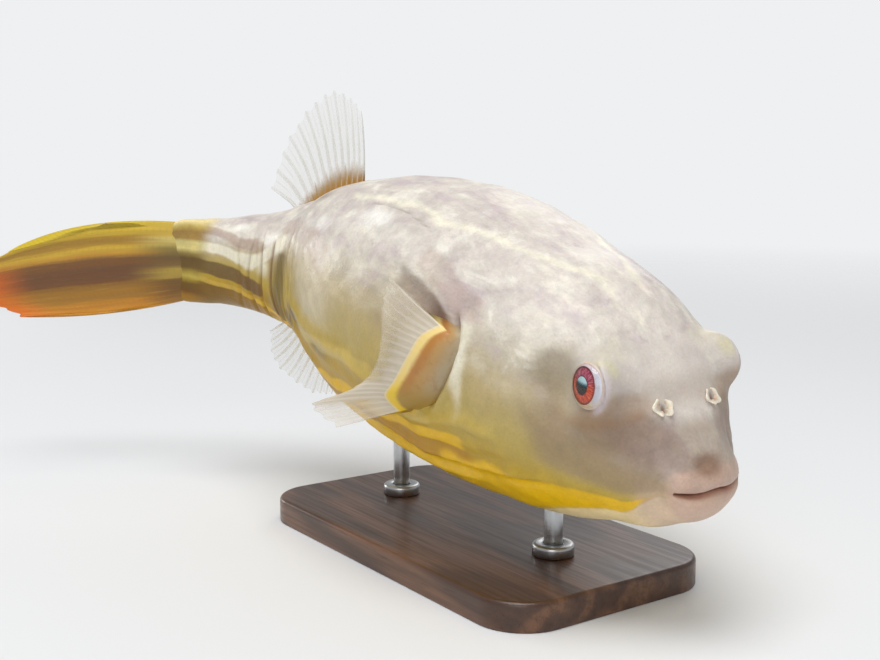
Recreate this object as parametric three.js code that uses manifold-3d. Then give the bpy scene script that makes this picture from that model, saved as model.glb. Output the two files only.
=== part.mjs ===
// Giant freshwater puffer on a plain display stand: a still, life-size model.
// Millimetres, +Z up. The origin is the middle of the stand's foot and the nose looks along -Y.
// The fish is drawn in its own frame first: +X to its left, +Y from lips to tail, +Z to its back.

import * as THREE from 'three';
import { mergeVertices } from 'three/addons/utils/BufferGeometryUtils.js';
import Module from 'manifold-3d';

// Driving dimensions.
const GAP = 0.3;                  // clearance left between neighbouring pieces
const LIPS_END = 10;              // distances behind the lips where the body is parted
const HEAD_END = 90;
const TRUNK_END = 262;
const BODY_LENGTH = 362;          // lips to the root of the tail fin
const UPPER_ROUNDNESS = 2.3;      // exponents of the body's section above and below its widest line
const LOWER_ROUNDNESS = 2.15;
const AROUND = 38;                // facets round the body

// Body sections: distance behind the lips, height of the widest line, rise above it,
// drop below it and half width.
const SECTIONS = [
  [-1, -20, 4, 4.2, 17.2],
  [2, -20, 11.4, 8.8, 20.4],
  [8, -21, 20.4, 13, 24.4],
  [17, -20, 28.4, 18.6, 27],
  [34, -17, 44, 26, 36],
  [58, -12, 58, 38, 46.5],
  [85, -7, 60.5, 48, 51],
  [120, -2, 64.5, 57, 56],
  [165, 1, 65, 61, 56],
  [210, 1, 60, 55, 51],
  [250, 3, 48, 45, 41],
  [290, 2, 32, 34, 28],
  [330, 0, 23, 26, 17],
  [350, -1, 21.5, 25.5, 9.5],
  [362, -1, 20.5, 25.5, 4.6],
];

// The tail swings to the fish's right.
const SWING_START = 214;
const SWING_END = 382;
const SWING_ANGLE = THREE.MathUtils.degToRad(52);

// Flattened eyeballs stand on low domes high on the head, each held by a ring of skin.
const EYE_RADIUS = 9.6;
const EYE_DEPTH = 7;              // half thickness along the line of sight
const EYE_SIDE = 31.2;
const EYE_BACK = 34.2;
const EYE_UP = 16;
const EYE_LOOK = { out: 0.98, back: 0.14, up: 0.1 };
const LID_THICKNESS = 1.2;
const LID_OPENING = 8.8;
const DOME = { back: 36, up: 15, height: 7, spread: 14 };

// Mouth slit: a shallow smile, low between its raised middle and its corners, which are set back.
const SLIT_UP = -20.7;
const SMILE_RISE = 2.2;
const SMILE_HALF_WIDTH = 17.4;
const SLIT_MIDDLE_RISE = 2.1;
const SLIT_MIDDLE_WIDTH = 6.5;
const CORNER_SET_BACK = 6.5;
const CORNER_FROM = 3;            // the set-back fades out between these distances behind the lips
const CORNER_TO = 21;

// Nostril flaps: two flattened round-ended lobes on one root.
const NOSTRIL = {
  radius: 1.2, length: 4.2, flatness: 0.7, splay: 0.42, apart: 1.3, side: 13.2, back: 18.5, up: 7.6,
};
const NOSTRIL_TILT = Math.PI / 2 - 0.35;
const NOSTRIL_LEAN = 0.45;

// Stance on the stand.
const NOSE_DOWN = THREE.MathUtils.degToRad(8.4);
const LEAN_RIGHT = THREE.MathUtils.degToRad(3.4);
const BALANCE_BACK = 150;         // point of the body that stands over the foot's middle
const FISH_HEIGHT = 78;

const BASE = { width: 110, length: 200, height: 12, corner: 22, bevel: 2 };
const ROD_RADIUS = 4;
const ROD_SEAT = 6;               // depth of a rod's hole in the base
const ROD_BITE = 9;               // how far a rod runs up into the belly
const RODS = [
  { name: 'front', y: -58, belly: 38.5 },
  { name: 'rear', y: 58, belly: 53.5 },
];
const COLLAR = { radius: 9, height: 5, chamfer: 1.5 };

const wasm = await Module();
wasm.setup();

const fish = new THREE.Group();
const group = new THREE.Group();
group.add(fish);

// ---------- shared helpers ----------

function smoothStep(value) {
  const k = THREE.MathUtils.clamp(value, 0, 1);
  return k * k * (3 - 2 * k);
}

// Catmull-Rom blend of a table's rows at a fractional row number; the ends run on straight.
function blend(rows, position) {
  const last = rows.length - 1;
  const i = THREE.MathUtils.clamp(Math.floor(position), 0, last - 1);
  const f = position - i;
  const p1 = rows[i];
  const p2 = rows[i + 1];
  return p1.map((_, k) => {
    const before = i > 0 ? rows[i - 1][k] : 2 * p1[k] - p2[k];
    const after = i < last - 1 ? rows[i + 2][k] : 2 * p2[k] - p1[k];
    const a = 2 * p1[k];
    const b = p2[k] - before;
    const c = 2 * before - 5 * p1[k] + 4 * p2[k] - after;
    const d = 3 * p1[k] - before - 3 * p2[k] + after;
    return 0.5 * (a + f * (b + f * (c + f * d)));
  });
}

function toSolid(geometry) {
  const bare = geometry.clone();
  bare.deleteAttribute('normal');
  bare.deleteAttribute('uv');
  const merged = mergeVertices(bare, 1e-4);
  return new wasm.Manifold(new wasm.Mesh({
    numProp: 3,
    vertProperties: new Float32Array(merged.attributes.position.array),
    triVerts: new Uint32Array(merged.index.array),
  }));
}

function toGeometry(solid) {
  const mesh = solid.getMesh();
  const geometry = new THREE.BufferGeometry();
  geometry.setAttribute('position', new THREE.BufferAttribute(mesh.vertProperties, 3));
  geometry.setIndex(new THREE.BufferAttribute(mesh.triVerts, 1));
  geometry.computeVertexNormals();
  return geometry;
}

function addPiece(parent, name, geometry, color, roughness, metalness = 0) {
  const material = new THREE.MeshStandardMaterial({ color, roughness, metalness });
  const mesh = new THREE.Mesh(geometry, material);
  mesh.name = name;
  parent.add(mesh);
  return mesh;
}

// Closed tube through equal rings of points, with a fan over each end.
function tubeGeometry(rings) {
  const around = rings[0].length;
  const points = rings.flat();
  const faces = [];
  for (let i = 0; i < rings.length - 1; i += 1) {
    for (let j = 0; j < around; j += 1) {
      const a = i * around + j;
      const b = i * around + (j + 1) % around;
      faces.push(a, b + around, b, a, a + around, b + around);
    }
  }
  for (const [ring, start, flip] of [[rings[0], 0, false], [rings.at(-1), points.length - around, true]]) {
    const middle = points.length;
    const centre = new THREE.Vector3();
    ring.forEach((point) => centre.addScaledVector(point, 1 / around));
    points.push(centre);
    for (let j = 0; j < around; j += 1) {
      const a = start + j;
      const b = start + (j + 1) % around;
      faces.push(...(flip ? [b, a, middle] : [a, b, middle]));
    }
  }
  const geometry = new THREE.BufferGeometry().setFromPoints(points);
  geometry.setIndex(faces);
  return geometry;
}

// ---------- the body's form ----------

const SPINE_STEP = 2;
const spine = [{ x: 0, y: -20 }];
for (let back = -20; back < 600; back += SPINE_STEP) {
  const turn = SWING_ANGLE * smoothStep((back + SPINE_STEP / 2 - SWING_START) / (SWING_END - SWING_START));
  const { x, y } = spine.at(-1);
  spine.push({ x: x - SPINE_STEP * Math.sin(turn), y: y + SPINE_STEP * Math.cos(turn) });
}

// Carries a point of the straight fish to its place beside the swung spine.
function swing(side, back, up) {
  const step = (back + 20) / SPINE_STEP;
  const i = THREE.MathUtils.clamp(Math.floor(step), 0, spine.length - 2);
  const f = step - i;
  const x = THREE.MathUtils.lerp(spine[i].x, spine[i + 1].x, f);
  const y = THREE.MathUtils.lerp(spine[i].y, spine[i + 1].y, f);
  const turn = SWING_ANGLE * smoothStep((back - SWING_START) / (SWING_END - SWING_START));
  return new THREE.Vector3(x + side * Math.cos(turn), y + side * Math.sin(turn), up);
}

// Fractional row of SECTIONS that lies a given distance behind the lips, by halving.
function rowAt(back) {
  let low = 0;
  let high = SECTIONS.length - 1;
  while (high - low > 1e-4) {
    const middle = (low + high) / 2;
    if (blend(SECTIONS, middle)[0] < back) low = middle;
    else high = middle;
  }
  return (low + high) / 2;
}

// Point of the skin: a rounded section, swelled sideways over the eye dome and grown by a margin.
function skinPoint(row, angle, margin = 0) {
  const [back, middle, rise, drop, half] = blend(SECTIONS, row);
  const across = Math.cos(angle);
  const along = Math.sin(angle);
  const power = 2 / (along >= 0 ? UPPER_ROUNDNESS : LOWER_ROUNDNESS);
  const reach = (along >= 0 ? rise : drop) + margin;
  const side = (half + margin) * Math.sign(across) * Math.abs(across) ** power;
  const up = middle + reach * Math.sign(along) * Math.abs(along) ** power;
  const distance = (back - DOME.back) ** 2 + (up - DOME.up) ** 2;
  const dome = DOME.height * Math.exp(-distance / (2 * DOME.spread ** 2));
  const swell = dome * Math.min(Math.abs(side) / 20, 1);
  const fade = 1 - smoothStep((back - CORNER_FROM) / (CORNER_TO - CORNER_FROM));
  const setBack = CORNER_SET_BACK * fade * Math.min(Math.abs(side) / SMILE_HALF_WIDTH, 1.1) ** 2;
  return swing(side + 0.9 * Math.sign(side) * swell, back + setBack, up + 0.35 * swell);
}

function skinRing(row, margin = 0) {
  return Array.from({ length: AROUND }, (_, j) => skinPoint(row, (2 * Math.PI * j) / AROUND, margin));
}

// Length of the body between two distances behind the lips, as a closed solid.
function bodyLength(from, to, count, margin = 0) {
  const start = rowAt(from);
  const end = rowAt(to);
  const rings = [];
  for (let i = 0; i <= count; i += 1) {
    rings.push(skinRing(THREE.MathUtils.lerp(start, end, i / count), margin));
  }
  return toSolid(tubeGeometry(rings));
}

// ---------- fins ----------

// A fin ray leaves its root, leans towards its bend and ends at its tip, along a parabola;
// the roots, bends and tips of a whole fan are blended from three short tables.
function fanPoint(fan, across, out) {
  const root = blend(fan.roots, across * (fan.roots.length - 1));
  const bend = blend(fan.bends, across * (fan.bends.length - 1));
  const tip = blend(fan.tips, across * (fan.tips.length - 1));
  return root.map((_, k) => (1 - out) ** 2 * root[k] + 2 * out * (1 - out) * bend[k] + out ** 2 * tip[k]);
}

function finSurface(fan, across, out) {
  const [side, back, up] = fanPoint(fan, across, out);
  return swing(side, back, up);
}

// Thin closed solid on both sides of a fan: thick at the root, thin at the margin.
function finSolid(fan, rays, steps) {
  const thickness = (out) => {
    const share = (1 - Math.min(out / fan.fleshy, 1)) ** 2;
    return THREE.MathUtils.lerp(fan.rim, fan.root, share);
  };
  const nudge = 1e-3;
  const rings = [];
  for (let i = 0; i <= rays; i += 1) {
    const across = i / rays;
    const near = [];
    const far = [];
    for (let j = 0; j <= steps; j += 1) {
      const out = j / steps;
      const point = finSurface(fan, across, out);
      const ahead = finSurface(fan, Math.min(across + nudge, 1), out);
      const behind = finSurface(fan, Math.max(across - nudge, 0), out);
      const further = finSurface(fan, across, Math.min(out + nudge, 1));
      const nearer = finSurface(fan, across, Math.max(out - nudge, 0));
      const normal = ahead.sub(behind).cross(further.sub(nearer)).normalize();
      const half = thickness(out) / 2;
      near.push(point.clone().addScaledVector(normal, half));
      far.push(point.addScaledVector(normal, -half));
    }
    rings.push([...near, ...far.reverse()]);
  }
  return toSolid(tubeGeometry(rings));
}

// Each table lists [side, back, up] points from the leading to the trailing ray.
const DORSAL = {
  roots: [[0, 244, 46], [0, 260, 41], [0, 275, 33], [0, 289, 26]],
  bends: [[1, 244, 70], [2, 263, 68], [2, 282, 57], [1, 296, 36]],
  tips: [[0, 247, 88], [-1, 257, 96], [-2, 272, 95], [-2, 288, 83], [-1, 301, 65], [0, 311, 41]],
  root: 5, rim: 1, fleshy: 0.35,
};
const ANAL = {
  roots: [[0, 260, -36], [0, 272, -33], [0, 285, -29], [0, 296, -25]],
  bends: [[-1, 264, -54], [-2, 278, -52], [-2, 293, -46], [-1, 302, -34]],
  tips: [[0, 268, -67], [1, 282, -70], [2, 299, -66], [1, 311, -55], [0, 312, -39]],
  root: 5, rim: 1, fleshy: 0.35,
};
const TAIL = {
  roots: [[0, 358, 18], [0, 358, -3], [0, 358, -25]],
  bends: [[3, 425, 20], [4, 425, -9], [3, 410, -41]],
  tips: [[-3, 462, -4], [-2, 475, -12], [0, 481, -23], [-1, 476, -33], [-3, 458, -40]],
  root: 9, rim: 1.2, fleshy: 0.6,
};
// Paddle of the right pectoral fin: a fleshy lobe stands out from the gill crease to a crest,
// and the rays sweep back from that crest, cupped above and flared out below.
const PECTORAL_LOBE = {
  roots: [[-44, 95, 22.5], [-45, 93, 15], [-46, 97, 4], [-47, 103, -6], [-48, 112, -15]],
  bends: [[-54, 93, 22.5], [-58, 95, 16], [-60, 101, 7], [-60, 108, -5], [-55, 113, -14]],
  tips: [[-52, 96, 22], [-56.5, 101.5, 18], [-60, 105, 10.5], [-61.5, 113, -2], [-61, 117.5, -9],
    [-56, 116, -15]],
  root: 9, rim: 4, fleshy: 1,
};
const PECTORAL_VANE = {
  roots: [[-51.5, 97, 22], [-56.5, 102.5, 18], [-60, 106, 10.5], [-61.5, 114, -2], [-61, 118.5, -9],
    [-56, 117, -15.5]],
  bends: [[-60, 112, 32], [-67, 117, 23], [-68, 121, 13.5], [-68, 129, -3], [-69, 142, -15],
    [-66, 134, -24]],
  tips: [[-59, 130, 37.5], [-60, 132, 25], [-60, 130, 12], [-61, 134, -3], [-66, 147, -15],
    [-74, 165, -26], [-73, 144, -30]],
  root: 3.4, rim: 0.8, fleshy: 0.5,
};

function mirrored(fan) {
  const flip = (rows) => rows.map(([side, back, up]) => [-side, back, up]).reverse();
  return { ...fan, roots: flip(fan.roots), bends: flip(fan.bends), tips: flip(fan.tips) };
}

// ---------- pieces of the fish ----------

// Moves a shape that looks along +Y to the right (-1) or left (+1) eye, looking out of its opening.
function faceOut(geometry, side) {
  const look = new THREE.Vector3(side * EYE_LOOK.out, EYE_LOOK.back, EYE_LOOK.up).normalize();
  const turn = new THREE.Quaternion().setFromUnitVectors(new THREE.Vector3(0, 1, 0), look);
  return geometry.applyQuaternion(turn).translate(side * EYE_SIDE, EYE_BACK, EYE_UP);
}

function eyeBall(side, margin = 0) {
  const ball = new THREE.SphereGeometry(EYE_RADIUS + margin, 20, 10);
  return faceOut(ball.scale(1, (EYE_DEPTH + margin) / (EYE_RADIUS + margin), 1), side);
}

// Skin that wraps an eye, and the flared opening cut through it.
function eyeLid(side) {
  const radius = EYE_RADIUS + LID_THICKNESS;
  const depth = EYE_DEPTH + LID_THICKNESS;
  const rimDepth = EYE_DEPTH * Math.sqrt(1 - (LID_OPENING / EYE_RADIUS) ** 2);
  const widest = Math.asin(rimDepth / depth);
  const steps = 5;
  const profile = [new THREE.Vector2(0, -depth)];
  for (let i = 1; i <= steps; i += 1) {
    const angle = THREE.MathUtils.lerp(-Math.PI / 2, widest, i / steps);
    profile.push(new THREE.Vector2(radius * Math.cos(angle), depth * Math.sin(angle)));
  }
  profile.push(new THREE.Vector2(0, rimDepth));
  const wrap = faceOut(new THREE.LatheGeometry(profile, 20), side);
  const flare = new THREE.CylinderGeometry(LID_OPENING + 5, LID_OPENING + 0.4, 10, 20);
  return { wrap: toSolid(wrap), opening: toSolid(faceOut(flare.translate(0, rimDepth + 5, 0), side)) };
}

// Region above (+1) or below (-1) the smiling mouth slit.
function jawRegion(direction) {
  const outline = new THREE.Shape();
  const steps = 24;
  const reach = 32;               // half width, height and depth of the region, well outside the lips
  outline.moveTo(-reach, SLIT_UP + direction * reach);
  for (let i = 0; i <= steps; i += 1) {
    const x = THREE.MathUtils.lerp(-reach, reach, i / steps);
    const corner = SMILE_RISE * Math.min(Math.abs(x) / SMILE_HALF_WIDTH, 1) ** 2;
    const middle = SLIT_MIDDLE_RISE * Math.exp(-((x / SLIT_MIDDLE_WIDTH) ** 2));
    outline.lineTo(x, SLIT_UP + corner + middle + (direction * GAP) / 2);
  }
  outline.lineTo(reach, SLIT_UP + direction * reach);
  const slab = new THREE.ExtrudeGeometry(outline, { depth: reach, bevelEnabled: false });
  slab.rotateX(Math.PI / 2);
  slab.translate(0, reach / 2, 0);
  return toSolid(slab);
}

// Blind holes in the belly that the rods run up into, upright in the stand's frame.
function rodHoles() {
  fish.updateMatrixWorld(true);
  return RODS.map(({ y, belly }) => {
    const length = belly;
    const hole = new THREE.CylinderGeometry(ROD_RADIUS + GAP, ROD_RADIUS + GAP, length, 24);
    hole.rotateX(Math.PI / 2);
    hole.translate(0, y, belly + ROD_BITE + GAP - length / 2);
    hole.applyMatrix4(fish.matrixWorld.clone().invert());
    return toSolid(hole);
  });
}

function nostril(side) {
  const lobes = [-1, 1].map((turn) => {
    const lobe = new THREE.CapsuleGeometry(NOSTRIL.radius, NOSTRIL.length, 2, 8);
    lobe.scale(1, 1, NOSTRIL.flatness);
    lobe.rotateZ(turn * NOSTRIL.splay);
    lobe.translate(-turn * NOSTRIL.apart, NOSTRIL.length / 2, 0);
    lobe.rotateX(NOSTRIL_TILT);
    lobe.rotateY(side * NOSTRIL_LEAN);
    lobe.translate(side * NOSTRIL.side, NOSTRIL.back, NOSTRIL.up);
    return toSolid(lobe);
  });
  return lobes[0].add(lobes[1]);
}

function buildFish() {
  const [frontHole, rearHole] = rodHoles();
  const grownBody = bodyLength(-1, BODY_LENGTH, 48, GAP);
  const nostrils = { right: nostril(-1), left: nostril(1) };

  const front = bodyLength(-1, HEAD_END - GAP / 2, 20);
  const lips = front.trimByPlane([0, -1, 0], GAP / 2 - LIPS_END);
  addPiece(fish, 'upper_lip', toGeometry(lips.intersect(jawRegion(1))), 0xcdaa9b, 0.45);
  addPiece(fish, 'lower_lip', toGeometry(lips.intersect(jawRegion(-1))), 0xd6bcae, 0.45);

  let head = front.trimByPlane([0, 1, 0], LIPS_END + GAP / 2);
  for (const side of [-1, 1]) {
    const { wrap, opening } = eyeLid(side);
    head = head.add(wrap).subtract(opening).subtract(toSolid(eyeBall(side, GAP)));
  }
  head = head.subtract(frontHole);
  addPiece(fish, 'head', toGeometry(head), 0xd7cdbe, 0.5);

  const trunk = bodyLength(HEAD_END + GAP / 2, TRUNK_END - GAP / 2, 12);
  addPiece(fish, 'trunk', toGeometry(trunk.subtract(frontHole).subtract(rearHole)), 0xd8cfae, 0.5);

  const tailStem = bodyLength(TRUNK_END + GAP / 2, BODY_LENGTH, 9);
  const tailFin = finSolid(TAIL, 10, 6).subtract(grownBody);
  addPiece(fish, 'tail_stem', toGeometry(tailStem), 0xb89a6a, 0.5);
  addPiece(fish, 'tail_fin', toGeometry(tailFin), 0xc29a28, 0.5);
  addPiece(fish, 'dorsal_fin', toGeometry(finSolid(DORSAL, 10, 5).subtract(grownBody)), 0xd9d2c4, 0.4);
  addPiece(fish, 'anal_fin', toGeometry(finSolid(ANAL, 10, 4).subtract(grownBody)), 0xd9cfa8, 0.4);

  for (const [name, turn] of [['right', (fan) => fan], ['left', mirrored]]) {
    const lobe = finSolid(turn(PECTORAL_LOBE), 8, 3);
    const vane = finSolid(turn(PECTORAL_VANE), 12, 5);
    addPiece(fish, `pectoral_fin_${name}`, toGeometry(lobe.add(vane).subtract(grownBody)), 0xcdbba4, 0.4);
  }
  for (const [name, side] of [['right', -1], ['left', 1]]) {
    addPiece(fish, `eye_${name}`, eyeBall(side), 0xb0613f, 0.1);
    addPiece(fish, `nostril_${name}`, toGeometry(nostrils[name].subtract(grownBody)), 0xe0cfc4, 0.5);
  }
}

// ---------- stand ----------

function roundedPlate({ width, length, height, corner, bevel }) {
  const x = width / 2 - bevel;
  const y = length / 2 - bevel;
  const outline = new THREE.Shape();
  outline.absarc(x - corner, corner - y, corner, -Math.PI / 2, 0);
  outline.absarc(x - corner, y - corner, corner, 0, Math.PI / 2);
  outline.absarc(corner - x, y - corner, corner, Math.PI / 2, Math.PI);
  outline.absarc(corner - x, corner - y, corner, Math.PI, 1.5 * Math.PI);
  const options = {
    depth: height - 2 * bevel, bevelThickness: bevel, bevelSize: bevel, bevelSegments: 1, curveSegments: 6,
  };
  return new THREE.ExtrudeGeometry(outline, options).translate(0, 0, bevel);
}

function buildStand() {
  let base = toSolid(roundedPlate(BASE));
  RODS.forEach(({ y }) => {
    const seat = new THREE.CylinderGeometry(ROD_RADIUS + GAP, ROD_RADIUS + GAP, 2 * ROD_SEAT, 24);
    seat.rotateX(Math.PI / 2);
    seat.translate(0, y, BASE.height);
    base = base.subtract(toSolid(seat));
  });
  addPiece(group, 'stand_base', toGeometry(base), 0x3a2a20, 0.45);

  for (const { name, y, belly } of RODS) {
    const foot = BASE.height - ROD_SEAT + GAP;
    const length = belly + ROD_BITE - foot;
    const rod = new THREE.CylinderGeometry(ROD_RADIUS, ROD_RADIUS, length, 24).rotateX(Math.PI / 2);
    addPiece(group, `stand_rod_${name}`, rod, 0xb9bcc0, 0.3, 1).position.set(0, y, foot + length / 2);

    const inner = ROD_RADIUS + GAP;
    const profile = [
      [inner, 0],
      [COLLAR.radius, 0],
      [COLLAR.radius, COLLAR.height - COLLAR.chamfer],
      [COLLAR.radius - COLLAR.chamfer, COLLAR.height],
      [inner, COLLAR.height],
      [inner, 0],
    ];
    const ring = new THREE.LatheGeometry(profile.map(([r, z]) => new THREE.Vector2(r, z)), 20);
    ring.rotateX(Math.PI / 2);
    addPiece(group, `stand_collar_${name}`, ring, 0xb9bcc0, 0.3, 1).position.set(0, y, BASE.height + GAP);
  }
}

fish.rotation.set(NOSE_DOWN, -LEAN_RIGHT, 0);
fish.position.set(0, -BALANCE_BACK * Math.cos(NOSE_DOWN), FISH_HEIGHT);
buildFish();
buildStand();

export default group;
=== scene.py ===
"""A giant freshwater puffer, life size, held by two short rods on a plain wooden base."""
import bpy
import numpy as np
from mathutils import Matrix, Vector


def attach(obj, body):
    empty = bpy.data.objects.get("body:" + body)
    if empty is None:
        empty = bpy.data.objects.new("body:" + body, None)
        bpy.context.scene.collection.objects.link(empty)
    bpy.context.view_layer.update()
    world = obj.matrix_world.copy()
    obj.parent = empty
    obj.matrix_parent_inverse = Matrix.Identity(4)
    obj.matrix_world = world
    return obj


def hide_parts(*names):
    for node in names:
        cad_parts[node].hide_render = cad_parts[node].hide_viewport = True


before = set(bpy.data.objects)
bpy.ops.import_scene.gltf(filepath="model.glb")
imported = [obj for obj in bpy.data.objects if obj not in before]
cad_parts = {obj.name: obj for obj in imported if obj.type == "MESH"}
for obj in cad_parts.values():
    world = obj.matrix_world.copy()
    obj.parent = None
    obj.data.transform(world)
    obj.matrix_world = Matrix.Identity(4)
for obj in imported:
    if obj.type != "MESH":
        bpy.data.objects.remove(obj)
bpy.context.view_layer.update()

# ---------------------------------------------------------------- sizes
# The fish is shaped in its own straight frame, in millimetres: side (+ to its left),
# back (behind the lips) and up. swing() bends it and to_world() stands it on its rods.
MM = 0.001
NOSE_DOWN = np.radians(8.4)
LEAN_RIGHT = np.radians(3.4)
BALANCE_BACK = 150.0
FISH_HEIGHT = 78.0
SWING_START, SWING_END, SWING_ANGLE = 214.0, 382.0, np.radians(52)

UPPER_ROUNDNESS, LOWER_ROUNDNESS = 2.3, 2.15
# Body sections: back, height of the widest line, rise above it, drop below it, half width.
# The first two lie inside the closed mouth.
SECTIONS = np.array([
    [5, -20, 0.4, 0.4, 15.2],
    [0.6, -20, 1.1, 1.0, 16.6],
    [-1, -20, 4.0, 4.2, 17.2],
    [2, -20, 11.4, 8.8, 20.4],
    [8, -21, 20.4, 13, 24.4],
    [17, -20, 28.4, 18.6, 27],
    [34, -17, 44, 26, 36],
    [58, -12, 58, 38, 46.5],
    [85, -7, 60.5, 48, 51],
    [120, -2, 64.5, 57, 56],
    [165, 1, 65, 61, 56],
    [210, 1, 60, 55, 51],
    [250, 3, 48, 45, 41],
    [290, 2, 32, 34, 28],
    [330, 0, 23, 26, 17],
    [350, -1, 21.5, 25.5, 9.5],
    [362, -1, 20.5, 25.5, 4.6],
    [371, -1, 17, 22.5, 1.2],
], dtype=float)
LIP_FRONT_ROW = 2                       # row of SECTIONS at the very front of the lips
BODY_LENGTH = 371.0
MOUTH_ROWS, SKIN_COLUMNS = 8, 282
# Rows of the skin, closer at the lips, eyes, gill crease and tail folds: from, to, how many.
ROW_STRETCHES = [(-1, 14, 26), (14, 22, 12), (22, 48, 60), (48, 60, 14), (60, 91, 24),
                 (91, 116, 32), (116, 246, 74), (246, 326, 82), (326, BODY_LENGTH, 20)]

EYE_CENTRE = np.array([31.2, 34.2, 16.0])
EYE_LOOK = np.array([0.98, 0.14, 0.10])
EYE_RADIUS, EYE_DEPTH = 9.6, 7.0
IRIS_RADIUS, PUPIL_RADIUS, CORNEA_RADIUS = 6.9, 3.3, 8.3
WRAP_RADIUS, WRAP_DEPTH, WRAP_SOFT = 11.4, 7.4, 3.2
LID_RADIUS, LID_FORWARD, LID_HEIGHT = 8.3, 0.8, 4.3
DOME_BACK, DOME_UP, DOME_HEIGHT, DOME_SPREAD = 36.0, 15.0, 7.0, 14.0
NOSTRIL_SIDE, NOSTRIL_BACK, NOSTRIL_UP = 12.5, 18.0, 9.4
NOSTRIL_FACING = (0.22, -0.76, 0.62)
# Corners of the mouth: how far out they are, how far drawn back and lifted; and the lips' middle dip.
CORNER_SIDE, CORNER_BACK, CORNER_LIFT, LIP_DIP = 17.4, 6.5, 2.2, 0.7


# ---------------------------------------------------------------- helpers for shapes
def smooth_step(values, low, high):
    """0 below low, 1 above high, an S curve between them."""
    k = np.clip((values - low) / (high - low), 0, 1)
    return k * k * (3 - 2 * k)


def hump(values, centre, width):
    """Bell curve of height 1 about the centre."""
    return np.exp(-((values - centre) / width) ** 2)


def window(values, low, high, soft):
    """1 between low and high, fading to 0 over soft outside them."""
    return smooth_step(values, low - soft, low) * (1 - smooth_step(values, high, high + soft))


def most(*shares):
    """The largest of several shares at each point."""
    return np.maximum.reduce(shares)


def push(amount, direction):
    """Moves by an amount at each point, along one direction or along each point's own."""
    return amount[..., None] * direction


def blend_rows(table, position):
    """Catmull-Rom blend of a table's rows at fractional row numbers; the ends run on straight."""
    table = np.asarray(table, dtype=float)
    last = len(table) - 1
    padded = np.vstack([2 * table[0] - table[1], table, 2 * table[-1] - table[-2]])
    i = np.clip(np.floor(position).astype(int), 0, last - 1)
    f = (position - i)[..., None]
    p0, p1, p2, p3 = (padded[i + k] for k in range(4))
    return 0.5 * (2 * p1 + f * (p2 - p0 + f * (2 * p0 - 5 * p1 + 4 * p2 - p3
                                               + f * (3 * p1 - p0 - 3 * p2 + p3))))


def ripple(points, size, seed):
    """Smooth uneven field of about -1 to 1: a sum of six sine waves in seeded directions."""
    rng = np.random.default_rng(seed)
    total = np.zeros(points.shape[:-1])
    for _ in range(6):
        direction = rng.normal(size=3)
        direction *= rng.uniform(0.7, 1.5) * 2 * np.pi / size / np.linalg.norm(direction)
        total += np.sin(points @ direction + rng.uniform(0, 2 * np.pi))
    return total / 3


SPINE_BACK = np.arange(-20, 620, 0.5)
spine_turn = SWING_ANGLE * smooth_step(SPINE_BACK, SWING_START, SWING_END)
SPINE = np.cumsum([-np.sin(spine_turn), np.cos(spine_turn)], axis=1) * 0.5
SPINE -= SPINE[:, SPINE_BACK == 0]


def swing(points):
    """Straight fish to swung fish: each cross-section stays flat and turns with the spine."""
    side, back, up = np.moveaxis(points, -1, 0)
    turn = SWING_ANGLE * smooth_step(back, SWING_START, SWING_END)
    x = np.interp(back, SPINE_BACK, SPINE[0]) + side * np.cos(turn)
    y = np.interp(back, SPINE_BACK, SPINE[1]) + side * np.sin(turn)
    return np.stack([x, y, up], axis=-1)


BODY_TURN = np.array(Matrix.Rotation(NOSE_DOWN, 3, "X") @ Matrix.Rotation(-LEAN_RIGHT, 3, "Y"))
BODY_PLACE = np.array([0, -BALANCE_BACK * np.cos(NOSE_DOWN), FISH_HEIGHT])


def to_world(points):
    """Swung fish in millimetres to the model's frame in metres."""
    return (points @ BODY_TURN.T + BODY_PLACE) * MM


def unit(vectors):
    """Vectors brought to length 1."""
    return vectors / np.maximum(np.linalg.norm(vectors, axis=-1, keepdims=True), 1e-9)


def outward(points, closed=True):
    """Unit normals of a grid of points, from the cross product of its two directions."""
    rows = np.gradient(points, axis=0)
    if closed:
        return unit(np.cross(rows, np.roll(points, -1, axis=1) - np.roll(points, 1, axis=1)))
    return unit(np.cross(rows, np.gradient(points, axis=1)))


def build_mesh(name, vertices, faces, fields=None):
    """Mesh object of quads or triangles at the origin, smooth, with float or vector fields."""
    mesh = bpy.data.meshes.new(name)
    mesh.from_pydata(vertices.tolist(), [], faces)
    for field, values in (fields or {}).items():
        flat = np.asarray(values, dtype=np.float32)
        kind, member = ("FLOAT_VECTOR", "vector") if flat.ndim == 2 else ("FLOAT", "value")
        mesh.attributes.new(field, kind, "POINT").data.foreach_set(member, flat.ravel())
    mesh.polygons.foreach_set("use_smooth", np.ones(len(mesh.polygons), dtype=bool))
    mesh.update()
    piece = bpy.data.objects.new(name, mesh)
    bpy.context.scene.collection.objects.link(piece)
    return piece


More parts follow.
